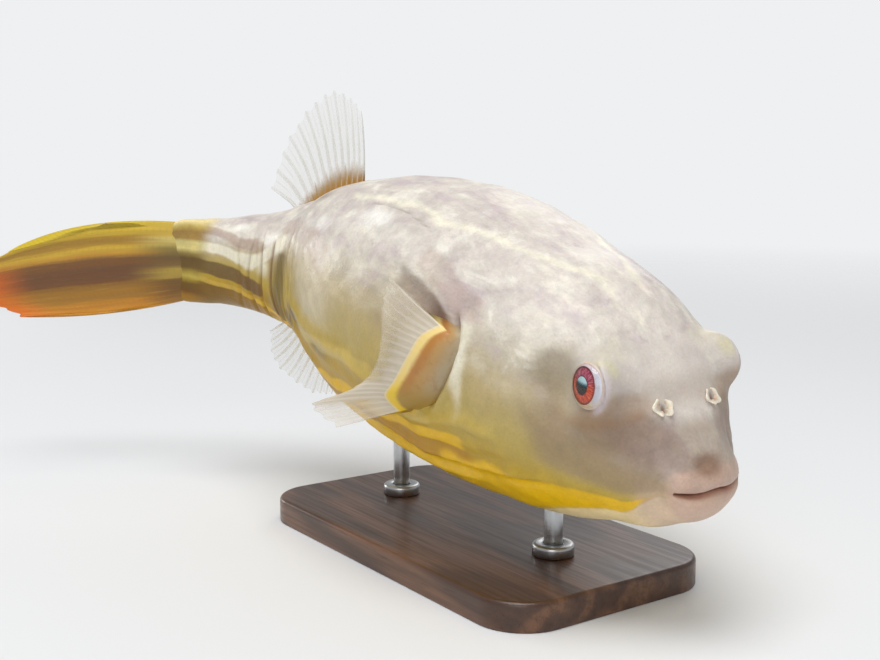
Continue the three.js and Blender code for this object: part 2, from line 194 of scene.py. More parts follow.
def tube_mesh(name, tubes, fields=None):
    """Closed tubes through rings of points, with a fan of triangles over each end. tubes and each
    field are one grid, or a list of grids for a piece made of several tubes."""
    several = isinstance(tubes, list)
    tubes = tubes if several else [tubes]
    fields = {key: values if several else [values] for key, values in (fields or {}).items()}
    vertices, faces, spread, start = [], [], {key: [] for key in fields}, 0
    for number, points in enumerate(tubes):
        rows, columns = points.shape[:2]
        here = np.arange(rows * columns).reshape(rows, columns)
        after = np.roll(here, -1, axis=1)
        quads = np.stack([here[:-1], here[1:], after[1:], after[:-1]], axis=-1).reshape(-1, 4)
        hub = np.full(columns, rows * columns)
        for block in (quads, np.stack([hub, here[0], after[0]], axis=-1),
                      np.stack([hub + 1, after[-1], here[-1]], axis=-1)):
            faces += (block + start).tolist()
        vertices += [points.reshape(-1, 3), points[0].mean(0)[None], points[-1].mean(0)[None]]
        for key, grids in fields.items():
            values = grids[number]
            spread[key] += [values.reshape(rows * columns, *values.shape[2:]), values[0].mean(0)[None],
                            values[-1].mean(0)[None]]
        start += rows * columns + 2
    joined = {key: np.concatenate(values) for key, values in spread.items()}
    return build_mesh(name, np.concatenate(vertices), faces, joined)


# ---------------------------------------------------------------- helpers for finishes
def paint(red, green, blue):
    """Linear colour of a paint written in the usual 0 to 255 steps."""
    value = np.array([red, green, blue]) / 255
    linear = np.where(value <= 0.04045, value / 12.92, ((value + 0.055) / 1.055) ** 2.4)
    return (*linear.tolist(), 1.0)


def feed(tree, socket, value):
    """Links a socket to another node's output, or sets it; three numbers in brackets are a paint."""
    if isinstance(value, bpy.types.NodeSocket):
        tree.links.new(value, socket)
    elif value is not None:
        is_paint = isinstance(value, tuple) and len(value) == 3
        socket.default_value = paint(*value) if is_paint else value


def add_node(tree, kind, inputs=None, **settings):
    """Adds a node with its settings and feeds its inputs."""
    made = tree.nodes.new(kind)
    for key, value in settings.items():
        setattr(made, key, value)
    for key, value in (inputs or {}).items():
        feed(tree, made.inputs[key], value)
    return made


class Finish:
    """One material and short ways to add the nodes it is made of."""

    def __init__(self, name, **settings):
        self.material = bpy.data.materials.new(name)
        self.material.use_nodes = True
        self.tree = self.material.node_tree
        self.tree.nodes.clear()
        self.shader = self.node("BsdfPrincipled")
        for socket, value in settings.items():
            self.shader.inputs[socket.replace("_", " ")].default_value = value
        self.node("OutputMaterial", {0: self.shader.outputs[0]})

    def node(self, kind, inputs=None, **settings):
        return add_node(self.tree, "ShaderNode" + kind, inputs, **settings)

    def field(self, name, output="Fac"):
        return self.node("Attribute", attribute_name=name).outputs[output]

    def stretched(self, vector, scale):
        made = self.node("VectorMath", {0: vector}, operation="MULTIPLY")
        made.inputs[1].default_value = scale
        return made.outputs[0]

    def noise(self, vector, scale, detail=3.0, roughness=0.5, distortion=0.0):
        inputs = {"Vector": vector, "Scale": scale, "Detail": detail, "Roughness": roughness,
                  "Distortion": distortion}
        return self.node("TexNoise", inputs).outputs["Fac"]

    def object_place(self):
        return self.node("TexCoord").outputs["Object"]

    def math(self, operation, first, second=None, clamp=False):
        return self.node("Math", {0: first, 1: second}, operation=operation, use_clamp=clamp).outputs[0]

    def times(self, first, second):
        return self.math("MULTIPLY", first, second)

    def plus(self, first, second):
        return self.math("ADD", first, second)

    def waver(self, noise, reach):
        """Noise brought to swing about 0, half the reach each way."""
        return self.times(self.math("SUBTRACT", noise, 0.5), reach)

    def span(self, value, low, high, to_low=0.0, to_high=1.0):
        """Value carried from one range to another, clamped, with soft ends."""
        inputs = dict(enumerate((value, low, high, to_low, to_high)))
        return self.node("MapRange", inputs, interpolation_type="SMOOTHSTEP").outputs[0]

    def ramp(self, value, stops):
        """Colour of a value, blended between stops of position and paint."""
        made = self.node("ValToRGB", {"Fac": value})
        elements = made.color_ramp.elements
        while len(elements) < len(stops):
            elements.new(1.0)
        for element, (position, *colour) in zip(elements, sorted(stops)):
            element.position = position
            element.color = paint(*colour)
        return made.outputs["Color"]

    def mix(self, amount, under, over, blend="MIX"):
        made = self.node("Mix", {"Factor": amount}, data_type="RGBA", blend_type=blend)
        colours = [socket for socket in made.inputs if socket.type == "RGBA"]
        feed(self.tree, colours[0], under)
        feed(self.tree, colours[1], over)
        return [socket for socket in made.outputs if socket.type == "RGBA"][0]

    def lay(self, colour, share, strength, tone):
        """A tone laid over a colour by its share and strength."""
        return self.mix(self.times(share, strength), colour, tone)

    def bump(self, height, strength, distance, normal=None):
        inputs = {"Height": height, "Strength": strength, "Distance": distance, "Normal": normal}
        return self.node("Bump", inputs).outputs[0]

    def use(self, **sockets):
        for socket, value in sockets.items():
            feed(self.tree, self.shader.inputs[socket.replace("_", " ")], value)
        return self.material


def place(piece, material, slot, *nodes):
    """Gives a piece its finish and lets it stand for CAD nodes; the slot is not used."""
    piece.data.materials.append(material)
    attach(piece, "root")
    if nodes:
        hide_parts(*nodes)


# ---------------------------------------------------------------- the body's form
def row_at(back):
    """Fractional row of SECTIONS at a distance behind the lips, outside the mouth, read from many
    finely spaced rows."""
    rows = np.linspace(LIP_FRONT_ROW, len(SECTIONS) - 1, 6000)
    return np.interp(back, blend_rows(SECTIONS, rows)[:, 0], rows)


def eye_line(side):
    """Centre of an eye and the direction it looks in."""
    return EYE_CENTRE * [side, 1, 1], unit(EYE_LOOK * [side, 1, 1])


def eye_frame(points, side):
    """Distance from an eye's line of sight, distance along it, the way out from it to each point,
    and the line's direction."""
    centre, look = eye_line(side)
    away = points - centre
    along = away @ look
    spoke = away - push(along, look)
    return np.linalg.norm(spoke, axis=-1), along, spoke, look


def ball_height(share, depth, least=0.0):
    """Height of a flattened ball at a share of its radius."""
    return depth * np.sqrt(np.clip(1 - share ** 2, least, 1))


def melt_in_eyes(points, normals):
    """Skin swept out over the balls: each point walks from its own tangent plane, down the slope of
    the smooth minimum of that plane's distance and a flattened ball's, to where it is zero."""
    walk_steps, smoothings, full = 14, 9, 0.55
    radius, depth, soft = WRAP_RADIUS, WRAP_DEPTH, WRAP_SOFT
    start = points
    # points sunk under a ball are lifted onto its face and spread out over it
    for side in (-1, 1):
        across, along, spoke, look = eye_frame(points, side)
        share = across / radius
        sunk = smooth_step(ball_height(share, depth) - along, 1, 6) * (share < 1)
        sunk = sunk * smooth_step(along, -13, -7)
        reach = np.interp(share, [0, 0.3, full, 1], [0, 0.72, 1, 1])
        height = np.where(share < full, ball_height(reach, depth),
                          along * np.clip(share - full, 0, 1) / (1 - full))
        points = points + push((radius * reach - across) * sunk, unit(spoke))
        points = points + push((height - along) * sunk, look)
    # every point walks to the surface that joins skin and balls
    for _ in range(walk_steps):
        value = ((points - start) * normals).sum(-1)
        slope = normals
        for side in (-1, 1):
            across, along, spoke, look = eye_frame(points, side)
            reach = np.sqrt((across / radius) ** 2 + (along / depth) ** 2) + 1e-6
            other = (reach - 1) * depth
            other_slope = push(depth / reach, spoke / radius ** 2 + push(along / depth ** 2, look))
            near = np.clip(0.5 + 0.5 * (value - other) / soft, 0, 1)
            value = value + (other - value) * near - soft * near * (1 - near)
            slope = slope + push(near, other_slope - slope)
        steep = np.maximum((slope ** 2).sum(-1), 0.2)
        points = points - push(0.8 * value / steep, slope)
    # in front of the lids the skin is held back, and close to the eyes it is evened out
    for side in (-1, 1):
        across, along, _, look = eye_frame(points, side)
        limit = LID_HEIGHT + 0.5 * np.maximum(across - LID_RADIUS, 0) - along
        over = -0.5 * (limit - np.sqrt(limit ** 2 + 2.5))
        points = points - push(over * (along > 0) * (1 - smooth_step(across, 16, 24)), look)
    near_eye = sum(1 - smooth_step(eye_frame(points, side)[0], 15, 21) for side in (-1, 1))
    near_eye = np.clip(near_eye, 0, 1) * (np.abs(points[..., 0]) > 8)
    for _ in range(smoothings):
        around = (np.roll(points, 1, axis=1) + np.roll(points, -1, axis=1)) / 4
        around[1:-1] += (points[2:] + points[:-2]) / 4
        around[[0, -1]] *= 2
        points = points + push(near_eye, around - points)
    return points


def line_at(line, at):
    """Value of a line given as (place, value) stations, run straight between them."""
    stations = np.array(line, dtype=float)
    return np.interp(at, stations[:, 0], stations[:, 1])


# Lines on the flank: distance back, then degrees round the section from its widest line.
UPPER_STRIPE = [(108, -14), (120, -13), (146, -9.5), (165, -7), (191, -9), (228, -16.5), (250, -21)]
LOWER_STRIPE = [(60, -14), (85, -16.5), (93, -18), (99, -19.5), (117, -23), (145, -23), (180, -27),
                (205, -30), (245, -42), (270, -46), (285, -44), (300, -36), (320, -27.5), (337, -24.5),
                (351, -20), (362, -19)]
GOLD_TOP = [(8, -8), (16, -11.5), (30, -13), (46, -18.5), (63, -20), (77, -21.5), (100, -27), (200, -40)]
GOLD_FOOT = [(10, -16), (20, -26), (27, -29), (34, -34), (42, -39), (52, -46), (60, -52), (100, -68)]
TAIL_CREAM = [(262, 24), (277, 26), (288, 19), (298, 11), (307, 7), (322, 9), (337, 21), (351, 22),
              (362, 20)]
TAIL_MAUVE = [(296, 21), (307, 25), (322, 30), (330, 39), (338, 48), (362, 55)]
TAIL_UMBER = [(255, -20), (285, -24), (300, -19), (320, -11), (340, -5), (362, -3)]
RUMP_MAUVE = [(190, 21), (217, 27), (240, 31), (262, 38), (282, 43)]
GILL_BAND = [(95, 24.5), (100.7, 26), (113, 29.5), (125, 32.5), (139.6, 35), (150, 36)]
BACK_CREASE = [(126, 52), (132, 53.5), (142, 55.5), (157, 57.5), (175, 58), (190, 57)]
BACK_CREAM = [(60, 82), (76, 75.5), (93, 70), (113, 65), (133, 60), (156, 62.5), (183, 61), (215, 60)]
# Half width in millimetres of the patch round the dorsal fin's root.
ROOT_WIDTH = [(228, -8), (238, 1), (249, 7), (262, 6), (276, 3), (290, -4)]
# Gill crease in front of the pectoral fin: up, back.
GILL_CREASE = [(-14, 107), (-8, 102.5), (0, 97.5), (8, 94.5), (16, 93.4), (24, 95), (31, 98)]
# Lengthwise pleats of the flank: height in millimetres, line, and where it starts and ends.
PLEATS = [
    (1.1, [(70, -4), (92, -8), (118, -17), (133, -15), (170, -9), (240, -8)], 80, 234),
    (1.2, [(50, -16), (82, -27), (116, -34), (150, -29), (200, -31), (245, -26)], 62, 244),
    (1.0, [(60, -36), (120, -45), (180, -44), (250, -42)], 95, 248),
]
# Upright folds where the skin bunches on the inside of the tail's swing: back, depth, how brown its
# painted shade is.
FOLDS = [(247, 0.5, 0), (257, 0.8, 0.25), (268, 1.0, 0.25), (276, 0.6, 0), (285, 1.5, 0.75),
         (299, 1.3, 0.55), (310, 0.9, 0.45), (320, 0.6, 0.3)]
# Soft spots of colour: strength, distance back and its spread, then a second measure, its middle
# and its spread. "wavy" is the lift made uneven, "wide" the distance from the middle plane.
SPOTS = {
    "gold": [(0.9, 121, 8, "wavy", -12.5, 2.6)],
    "ochre": [(0.25, 104, 12, "wavy", -16, 5), (0.7, 120, 9, "wavy", -1, 4)],
    # painted shade behind the pectoral fin
    "umber_band_and_shade": [(0.4, 142, 6, "wavy", 12.5, 5), (0.3, 150, 12, "wavy", 20, 8)],
    "cream": [(0.75, 297, 9, "wavy", 4, 8), (1, 90.5, 3.2, "lift", 16, 17)],
    "milk": [(1, 172, 15, "wavy", 50, 6), (1, 322, 9, "wavy", 53, 9), (1, 291, 10, "wavy", 30, 8),
             (0.8, 217, 9, "wavy", 40, 6)],
    "haze": [(1, 212, 30, "lift", 9, 13)],
    # painted bounce light: a brighter gold patch low on the front flank
    "sun": [(1, 86, 24, "lift", -43, 9)],
    # painted shade on the flank: at the tail's folds and low down towards the tail
    "painted_flank_shade": [(1, 247, 12, "lift", -15, 7), (1, 262, 13, "lift", -26, 9), (0.8, 202, 14, "lift", -14, 5),
             (0.8, 313, 15, "lift", -52, 12), (0.5, 292, 7, "lift", -25, 12)],
    # painted shadow under each eye's turret
    "shade_below_eye": [(1, 27, 10, "up", 0, 8)],
    "olive": [(1, 49, 9.5, "up", 18, 12), (0.6, 51, 10, "up", 3, 8)],
    "lemon": [(1, 29, 5, "up", 23.5, 4.5)],
    "lemon_behind": [(0.5, 35, 9, "up", 29, 8)],
    # painted shade at the lower front of each eye's turret
    "turret_edge_shade": [(0.7, 22, 4, "up", 9, 7)],
    # painted shade in each nostril's pit
    "nostril": [(0.9, NOSTRIL_BACK, 1.1, "wide", NOSTRIL_SIDE, 1.1)],
    # painted shade in the hollow beside the dorsal fin's root
    "dorsal_hollow_shade": [(0.6, 246, 8, "wide", 22, 5)],
}


def gill_offset(back, up):
    """Distance behind the gill crease."""
    return back - line_at(GILL_CREASE, up)


def fold_line(place_back, up):
    """Distance back of one upright fold: bowed and a little wavy along its height."""
    return place_back + 0.0014 * (up + 4) ** 2 + 1.1 * np.sin(up * 0.16 + place_back)


def body_grid():
    """Rows of the skin, from inside the mouth to the tail's root, and its angles."""
    inside = np.linspace(0, LIP_FRONT_ROW, MOUTH_ROWS, endpoint=False)
    backs = np.concatenate([np.linspace(low, high, count, endpoint=high == BODY_LENGTH)
                            for low, high, count in ROW_STRETCHES])
    return np.meshgrid(np.concatenate([inside, row_at(backs)]),
                       np.linspace(0, 2 * np.pi, SKIN_COLUMNS, endpoint=False), indexing="ij")


def plain_body(rows, angles):
    """Superellipse sections carried along the body, swelled under the eyes, the corners of the mouth
    drawn back and lifted."""
    back, middle, rise, drop, half = np.moveaxis(blend_rows(SECTIONS, rows), -1, 0)
    across, along = np.cos(angles), np.sin(angles)
    power = 2 / np.where(along >= 0, UPPER_ROUNDNESS, LOWER_ROUNDNESS)
    side = half * np.sign(across) * np.abs(across) ** power
    up = middle + np.where(along >= 0, rise, drop) * np.sign(along) * np.abs(along) ** power
    dome = np.exp(-((back - DOME_BACK) ** 2 + (up - DOME_UP) ** 2) / (2 * DOME_SPREAD ** 2))
    swell = DOME_HEIGHT * dome * np.minimum(np.abs(side) / 20, 1)
    corner = np.minimum(np.abs(side) / CORNER_SIDE, 1.1) ** 2 * (1 - smooth_step(back, 3, 21))
    smile = CORNER_LIFT * corner - LIP_DIP * (1 - smooth_step(back, 2, 12))
    smile += 2.1 * hump(side, 0, 6.5) * hump(up, middle, 6) * (1 - smooth_step(back, 2, 10))
    return np.stack([side + 0.9 * np.sign(side) * swell, back + CORNER_BACK * corner,
                     up + 0.35 * swell + smile], axis=-1)


def skin_relief(points, rows, lift):
    """Millimetres the skin stands out: bell curves of the distance from each lip, dimple, hollow,
    crease, pleat and fold, and a little unevenness."""
    side, back, up = np.moveaxis(points, -1, 0)
    wide, right = np.abs(side), smooth_step(-side, 0, 6)
    corner = smooth_step(wide, 14, 18)
    # lips, mouth corners and the hollow behind them
    relief = 0.5 * hump(back, 4.0, 3.0) * smooth_step(rows, LIP_FRONT_ROW - 0.5, LIP_FRONT_ROW + 0.6)
    relief -= 0.1 * hump(back, 12, 2.4)
    relief -= 0.6 * hump(back, 9.4, 1.2) * window(up, -23, -14, 3) * corner
    relief -= 1.5 * hump(side, -2.8, 6.0) * hump(up, -8.8, 3.4) * (back < 14)
    relief -= 0.35 * hump(back, 5.2 + 0.1 * (up + 18), 0.8) * window(up, -21, -15, 3) * corner
    relief -= 0.5 * hump(back, 17, 7) * hump(up, -3, 7) * smooth_step(wide, 8, 16)
    # nostril pits
    nostril = np.hypot(back - NOSTRIL_BACK, wide - NOSTRIL_SIDE) + 30 * (up < -10)
    relief += 0.9 * hump(nostril, 0, 4.6) - 1.1 * hump(nostril, 0, 1.1)
    # gill crease and the band above it
    offset = gill_offset(back, up)
    relief += window(up, -8, 25, 6) * (1.5 * hump(offset, -3.4, 2.4) - 3.0 * hump(offset, 0.4, 1.5))
    relief += 1.2 * hump(offset, 9, 7) * window(up, -10, 20, 8)
    above = lift - line_at(GILL_BAND, back)
    relief += (0.7 * hump(above, 4, 3.5) - 1.1 * hump(above, -3.5, 3.0)) * window(back, 97, 136, 8)
    relief -= 0.7 * hump(lift, line_at(BACK_CREASE, back), 0.9) * window(back, 134, 182, 8) * right
    # pleats and folds
    for height, line, start, end in PLEATS:
        above = lift - line_at(line, back)
        shape = hump(above, 0, 2.6) - 0.75 * hump(above, 6.5, 4) - 0.4 * hump(above, -5, 3)
        relief += height * shape * window(back, start, end, 22)
    for place_back, depth, _ in FOLDS:
        off = back - fold_line(place_back, up)
        shape = 0.5 * hump(off, -2.6, 1.9) - hump(off, 0, 1.2) + 0.35 * hump(off, 2.8, 1.9)
        relief += depth * shape * window(lift, -50, 30, 24) * right
    # swellings at the roots of the dorsal and anal fins
    relief += 0.5 * hump(side, 0, 4.5) * window(back, 243, 289, 7) * (up > 0)
    relief += 2.0 * hump(side, 0, 4.5) * window(back, 259, 296, 7) * (up < 0)
    return relief + 0.35 * ripple(points, 34, 5) + 0.12 * ripple(points, 11, 6)


def open_eyes(points):
    """Draws the nearest points onto the edge of each eye's opening, meets the ball there, and sinks
    the skin inside it out of sight."""
    edge_reach, lap, sink = 0.45, 1.1, 0.8
    for side in (-1, 1):
        ahead = eye_frame(points, side)[1] > 0
        # the opening's axis lies a little in front of the eye's line of sight
        reach, _, spoke, _ = eye_frame(points + [0, LID_FORWARD, 0], side)
        edge = (np.abs(reach - LID_RADIUS) < edge_reach) & ahead
        points = points + push((LID_RADIUS / np.maximum(reach, 1e-6) - 1) * edge, spoke)
        reach = np.where(edge, LID_RADIUS, reach)
        across, along, _, look = eye_frame(points, side)
        ball = ball_height(across / EYE_RADIUS, EYE_DEPTH)
        height = along + (ball + 0.1 - along) * (1 - smooth_step(reach, LID_RADIUS, LID_RADIUS + lap))
        height = height - sink * smooth_step(LID_RADIUS - reach, 0.0, 0.5)
        height = height + (1.0 - height) * smooth_step(LID_RADIUS - sink - reach, 0, 1.2)
        points = points + push((height - along) * ahead, look)
    return points


def spot(first, first_middle, first_spread, second, second_middle, second_spread):
    """Round soft spot in two measures: a bell curve of each, multiplied."""
    return hump(first, first_middle, first_spread) * hump(second, second_middle, second_spread)


class SkinPlaces:
    """Where the skin's points are, and the soft marks that are laid out by it."""

    def __init__(self, points, rows, lift):
        self.side, self.back, self.up = np.moveaxis(points, -1, 0)
        self.rows, self.lift, self.wide = rows, lift, np.abs(self.side)
        self.right = smooth_step(-self.side, 0, 6)
        self.broken = ripple(points, 30, 11)
        self.wavy = lift + 0.9 * self.broken + 0.5 * ripple(points, 12, 12)

    def height(self, line):
        """Degrees at which a line of the flank runs."""
        return line_at(line, self.back)

    def along(self, start, end, fade):
        """1 between two distances back, with soft ends."""
        return window(self.back, start, end, fade)

    def band(self, height, low, high, soft, start, end, fade):
        """Share of a band that lies from low to high above a height, from its start to its end."""
        return window(self.wavy - height, low, high, soft) * self.along(start, end, fade)

    def spots(self, name):
        """Strongest of a colour's spots: bell curves of the distance back and of a second measure."""
        return most(*(strength * spot(self.back, back, spread, getattr(self, measure), middle, width)
                      for strength, back, spread, measure, middle, width in SPOTS[name]))


def stripe_marks(at):
    """Gold, straw and ochre of the flank: bands along its lines, and spots."""
    lower, upper, top, foot = map(at.height, (LOWER_STRIPE, UPPER_STRIPE, GOLD_TOP, GOLD_FOOT))
    tail = smooth_step(at.back, 240, 300)
    gold = most(at.band(lower, -1.8, 1.8, 2.5 + 1.5 * tail, 92, 362, 8) * (1 - 0.3 * tail),
                at.band(0, foot + 3, top - 3, 6, 19, 98, 12),
                0.9 * at.band(lower, -23 + 9 * tail, -14 - 4 * tail, 4, 92, 330, 14), at.spots("gold"))
    ochre = most(at.band(lower, -11 + 2 * tail, -4.5, 3, 92, 362, 14),
                 smooth_step(at.back, 284, 312) * smooth_step(-at.wavy, 4 - lower, 9 - lower),
                 0.3 * at.band(0, lower + 4, upper - 5, 3, 168, 226, 16),
                 0.35 * hump(at.wavy, top - 8, 3) * at.along(34, 88, 12), at.spots("ochre"))
    return {"gold": gold, "ochre": ochre, "straw": 0.85 * at.band(upper, -1.4, 1.4, 3.4, 112, 224, 16)}


def dark_marks(at):
    """Brown of the tail's band; painted shade in creases, folds, the gill opening, the band over the
    pectoral fin, nostril pits, beside the dorsal fin and on the flank; the dorsal root's patch.
    """
    offset = gill_offset(at.back, at.up)
    # painted shadow: a dark band along the body just above the pectoral fin
    gill = at.band(at.height(GILL_BAND), -7, 0.5, 3, 106, 132, 11)
    gill = gill * (0.5 + 0.5 * smooth_step(-at.back, -118, -98))
    # painted shade in the upright folds, as brown as each fold's table entry
    folds = [brown * hump(at.back - fold_line(place_back, at.up), 0, 2.0 if brown < 0.6 else 3.2)
             for place_back, _, brown in FOLDS if brown]
    # Only the tail's band here is the skin's own brown; the gill band, the spots behind the fin, the
    # folds, the gill opening, the back's crease, the nostril pits and the hollow beside the dorsal fin
    # are painted shade.
    umber_band_and_shade = most(
        at.band(at.height(TAIL_UMBER), -6, 6, 4, 306, 362, 14), gill, at.spots("umber_band_and_shade"),
        most(*folds) * window(at.lift, -36, 22, 16) * at.right,
        # painted shade in the gill opening, at the top and at the foot of its crease
        0.75 * hump(offset, 0.8, 1.2) * window(at.up, 8, 24, 5),
        0.5 * hump(offset, 0.8, 1.6) * window(at.up, -10, -4, 2.5),
        0.2 * hump(at.wavy, 1.2, 1.6) * at.along(146, 176, 12),
        # painted shade in the crease along the back, right side only
        0.45 * hump(at.lift, at.height(BACK_CREASE), 0.8) * at.along(138, 178, 8) * at.right,
        # painted shade in the nostril pits
        at.spots("nostril") * (at.up > -10),
        # painted shade in the hollow beside the dorsal fin's root, right side only
        at.spots("dorsal_hollow_shade") * window(at.lift, 52, 70, 8) * at.right)
    # painted shade on the right flank: an upright stripe at a fold, and shaded patches lower down
    slanted = hump(at.back + 0.3 * at.lift, 273, 10) * window(at.lift, -40, 14, 8)
    off_root = at.wide - line_at(ROOT_WIDTH, at.back) - 2.2 * at.broken
    fin_root = (1 - smooth_step(off_root, -5, 6)) * smooth_step(at.lift, 30, 50) * at.along(240, 280, 14)
    return {"umber_band_and_shade": umber_band_and_shade, "painted_flank_shade": most(slanted, at.spots("painted_flank_shade")) * at.right, "fin_root": fin_root}


def pale_marks(at):
    """Mauve and cream bands and lines of the flank and back, pale spots, and painted bounce light low on
    the front flank.
    """
    gill = at.height(GILL_BAND)
    mauve = most(0.7 * at.band(at.height(TAIL_MAUVE), -5, 5, 7, 306, 362, 12),
                 0.55 * at.band(at.height(RUMP_MAUVE), -5, 5, 6, 204, 276, 14),
                 0.5 * at.band(gill, 6, 14, 5, 92, 124, 10))
    cream = most(at.band(at.height(TAIL_CREAM), -2.5, 3.5, 8, 276, 362, 14), at.spots("cream"),
                 0.7 * hump(at.wavy, at.height(BACK_CREAM), 3) * at.along(60, 205, 16))
    return {"mauve": mauve, "cream": cream, "milk": at.spots("milk") * at.right,
            "haze": at.spots("haze"), "sun": at.spots("sun")}


def eye_marks(at):
    """Colours round the eyes, by the distance from the line of sight: the same on both sides; among them
    painted shade under and in front of each turret.
    """
    wide = at.wide
    across, along, _, _ = eye_frame(np.stack([wide, at.back, at.up], -1), 1)
    lemon = most(at.spots("lemon") * smooth_step(wide, 23, 29),
                 at.spots("lemon_behind") * smooth_step(wide, 8, 22))
    # painted shade along the lower front edge of each eye's turret
    below_front = smooth_step(-0.75 * (at.back - 34) - 0.65 * (at.up - 16), -1, 12)
    ring = window(across, 9.8, 12.5, 7) * below_front * (1 - smooth_step(at.up, 12, 20))
    turret_edge_shade = most(ring * smooth_step(wide, 14, 22), at.spots("turret_edge_shade") * window(wide, 18, 30, 5))
    front = 1 - smooth_step(at.back, EYE_CENTRE[1] - 8, EYE_CENTRE[1] - 2)
    return {"turret": 1 - smooth_step(across, 12, 17), "lemon": lemon, "turret_edge_shade": turret_edge_shade,
            "shade_below_eye": at.spots("shade_below_eye") * smooth_step(wide, 12, 20),
            "olive": at.spots("olive") * smooth_step(wide, 14, 24),
            "glassy": (1 - smooth_step(across, 9.5, 13)) * front * smooth_step(along, -1, 2)}


def snout_marks(at, turret):
    """Snout, painted shade in the grooves beside the snout and in the dimple over the upper lip, jaw,
    chin, lips and gums, faded by distance back and by height.
    """
    back, lift, up = at.back, at.lift, at.up
    slant, off_slant = 0.76 * (back - 16) + 0.65 * (up + 3.3), 0.65 * (back - 16) - 0.76 * (up + 3.3)
    rear = 17 + 30 * (1 - smooth_step(lift, 10, 66))
    snout = (0.72 + 0.28 * smooth_step(back, 8, 20)) * (1 - smooth_step(back, rear - 6, rear + 16))
    snout = snout * window(lift, 6, 90, 20) * (1 - 0.4 * turret)
    snout = snout * (1 - 0.7 * smooth_step(lift, 52, 76) * smooth_step(back, 10, 16))
    foot = at.height(GOLD_FOOT)
    lips = (1 - 0.8 * smooth_step(back, 3, 9)) * (1 - smooth_step(back, 8, 16))
    return {"snout": most(snout, 0.5 * hump(back, 21, 6) * smooth_step(lift, 48, 68)),
            # painted shade in the groove between the snout and the cheek
            "muzzle_groove_shade": spot(slant, 0, 13, off_slant, 0, 8) * smooth_step(at.wide, 4, 12),
            "jaw": (1 - smooth_step(back, 10, 20)) * (1 - smooth_step(lift, 2, 24)),
            "chin": (1 - smooth_step(back, 44, 74)) * (1 - smooth_step(at.wavy, foot - 7, foot + 7)),
            "far_chin": smooth_step(back, 12, 24), "lips": lips * (1 - smooth_step(up, -13, -7)),
            # painted shade in the dimple over the upper lip
            "dimple": spot(at.side, -3.2, 7.5, up, -9.4, 4.2) * (back < 14),
            "gum": smooth_step(at.rows, 0.1, 0.5) * (1 - smooth_step(at.rows, 0.8, 1.7))}


def skin_fields(points, rows, lift):
    """Share of each colour at each point of the skin, 0 to 1, and what else the skin's paint reads."""
    at = SkinPlaces(points, rows, lift)
    eyes = eye_marks(at)
    return (stripe_marks(at) | dark_marks(at) | pale_marks(at) | eyes | snout_marks(at, eyes["turret"])
            | {"straight": points * MM, "lift": lift / 180 + 0.5, "tail": smooth_step(at.back, 280, 345),
               "warm_end": smooth_step(at.back + 0.08 * lift, 336, 360)})


def shape_skin():
    """The whole skin as one closed tube from inside the mouth to the tail's root."""
    rows, angles = body_grid()
    plain = plain_body(rows, angles)
    lift = np.degrees(np.arcsin(np.sin(angles)))
    points = melt_in_eyes(plain, outward(plain))
    points = points + push(skin_relief(plain, rows, lift), outward(points))
    return tube_mesh("skin", to_world(swing(open_eyes(points))), skin_fields(points, rows, lift))


def skin_ground(mat, straight, height, upper):
    """Back, flank and belly tones by height, with the back's pale network and lilac clouds."""
    colour = mat.ramp(height, [
        (0.0, 234, 220, 170), (0.14, 220, 190, 90), (0.25, 198, 158, 14), (0.34, 188, 148, 8),
        (0.42, 190, 158, 50), (0.5, 190, 167, 92), (0.56, 190, 170, 122), (0.64, 198, 187, 165),
        (0.72, 221, 213, 203), (0.83, 207, 198, 189), (1.0, 222, 213, 203)])
    marbling = mat.noise(mat.stretched(straight, (1.4, 0.75, 1.4)), 46, 5, 0.6, 0.5)
    streaks = mat.noise(mat.stretched(straight, (1.5, 0.42, 1.5)), 62, 4, 0.6, 0.2)
    for pattern, low, high, strength, tone in (
            (marbling, 0.48, 0.66, 0.6, (190, 172, 176)), (marbling, 0.47, 0.34, 0.6, (242, 237, 224)),
            (streaks, 0.5, 0.72, 0.45, (246, 239, 220))):
        colour = mat.lay(colour, mat.times(mat.span(pattern, low, high), upper), strength, tone)
    return colour


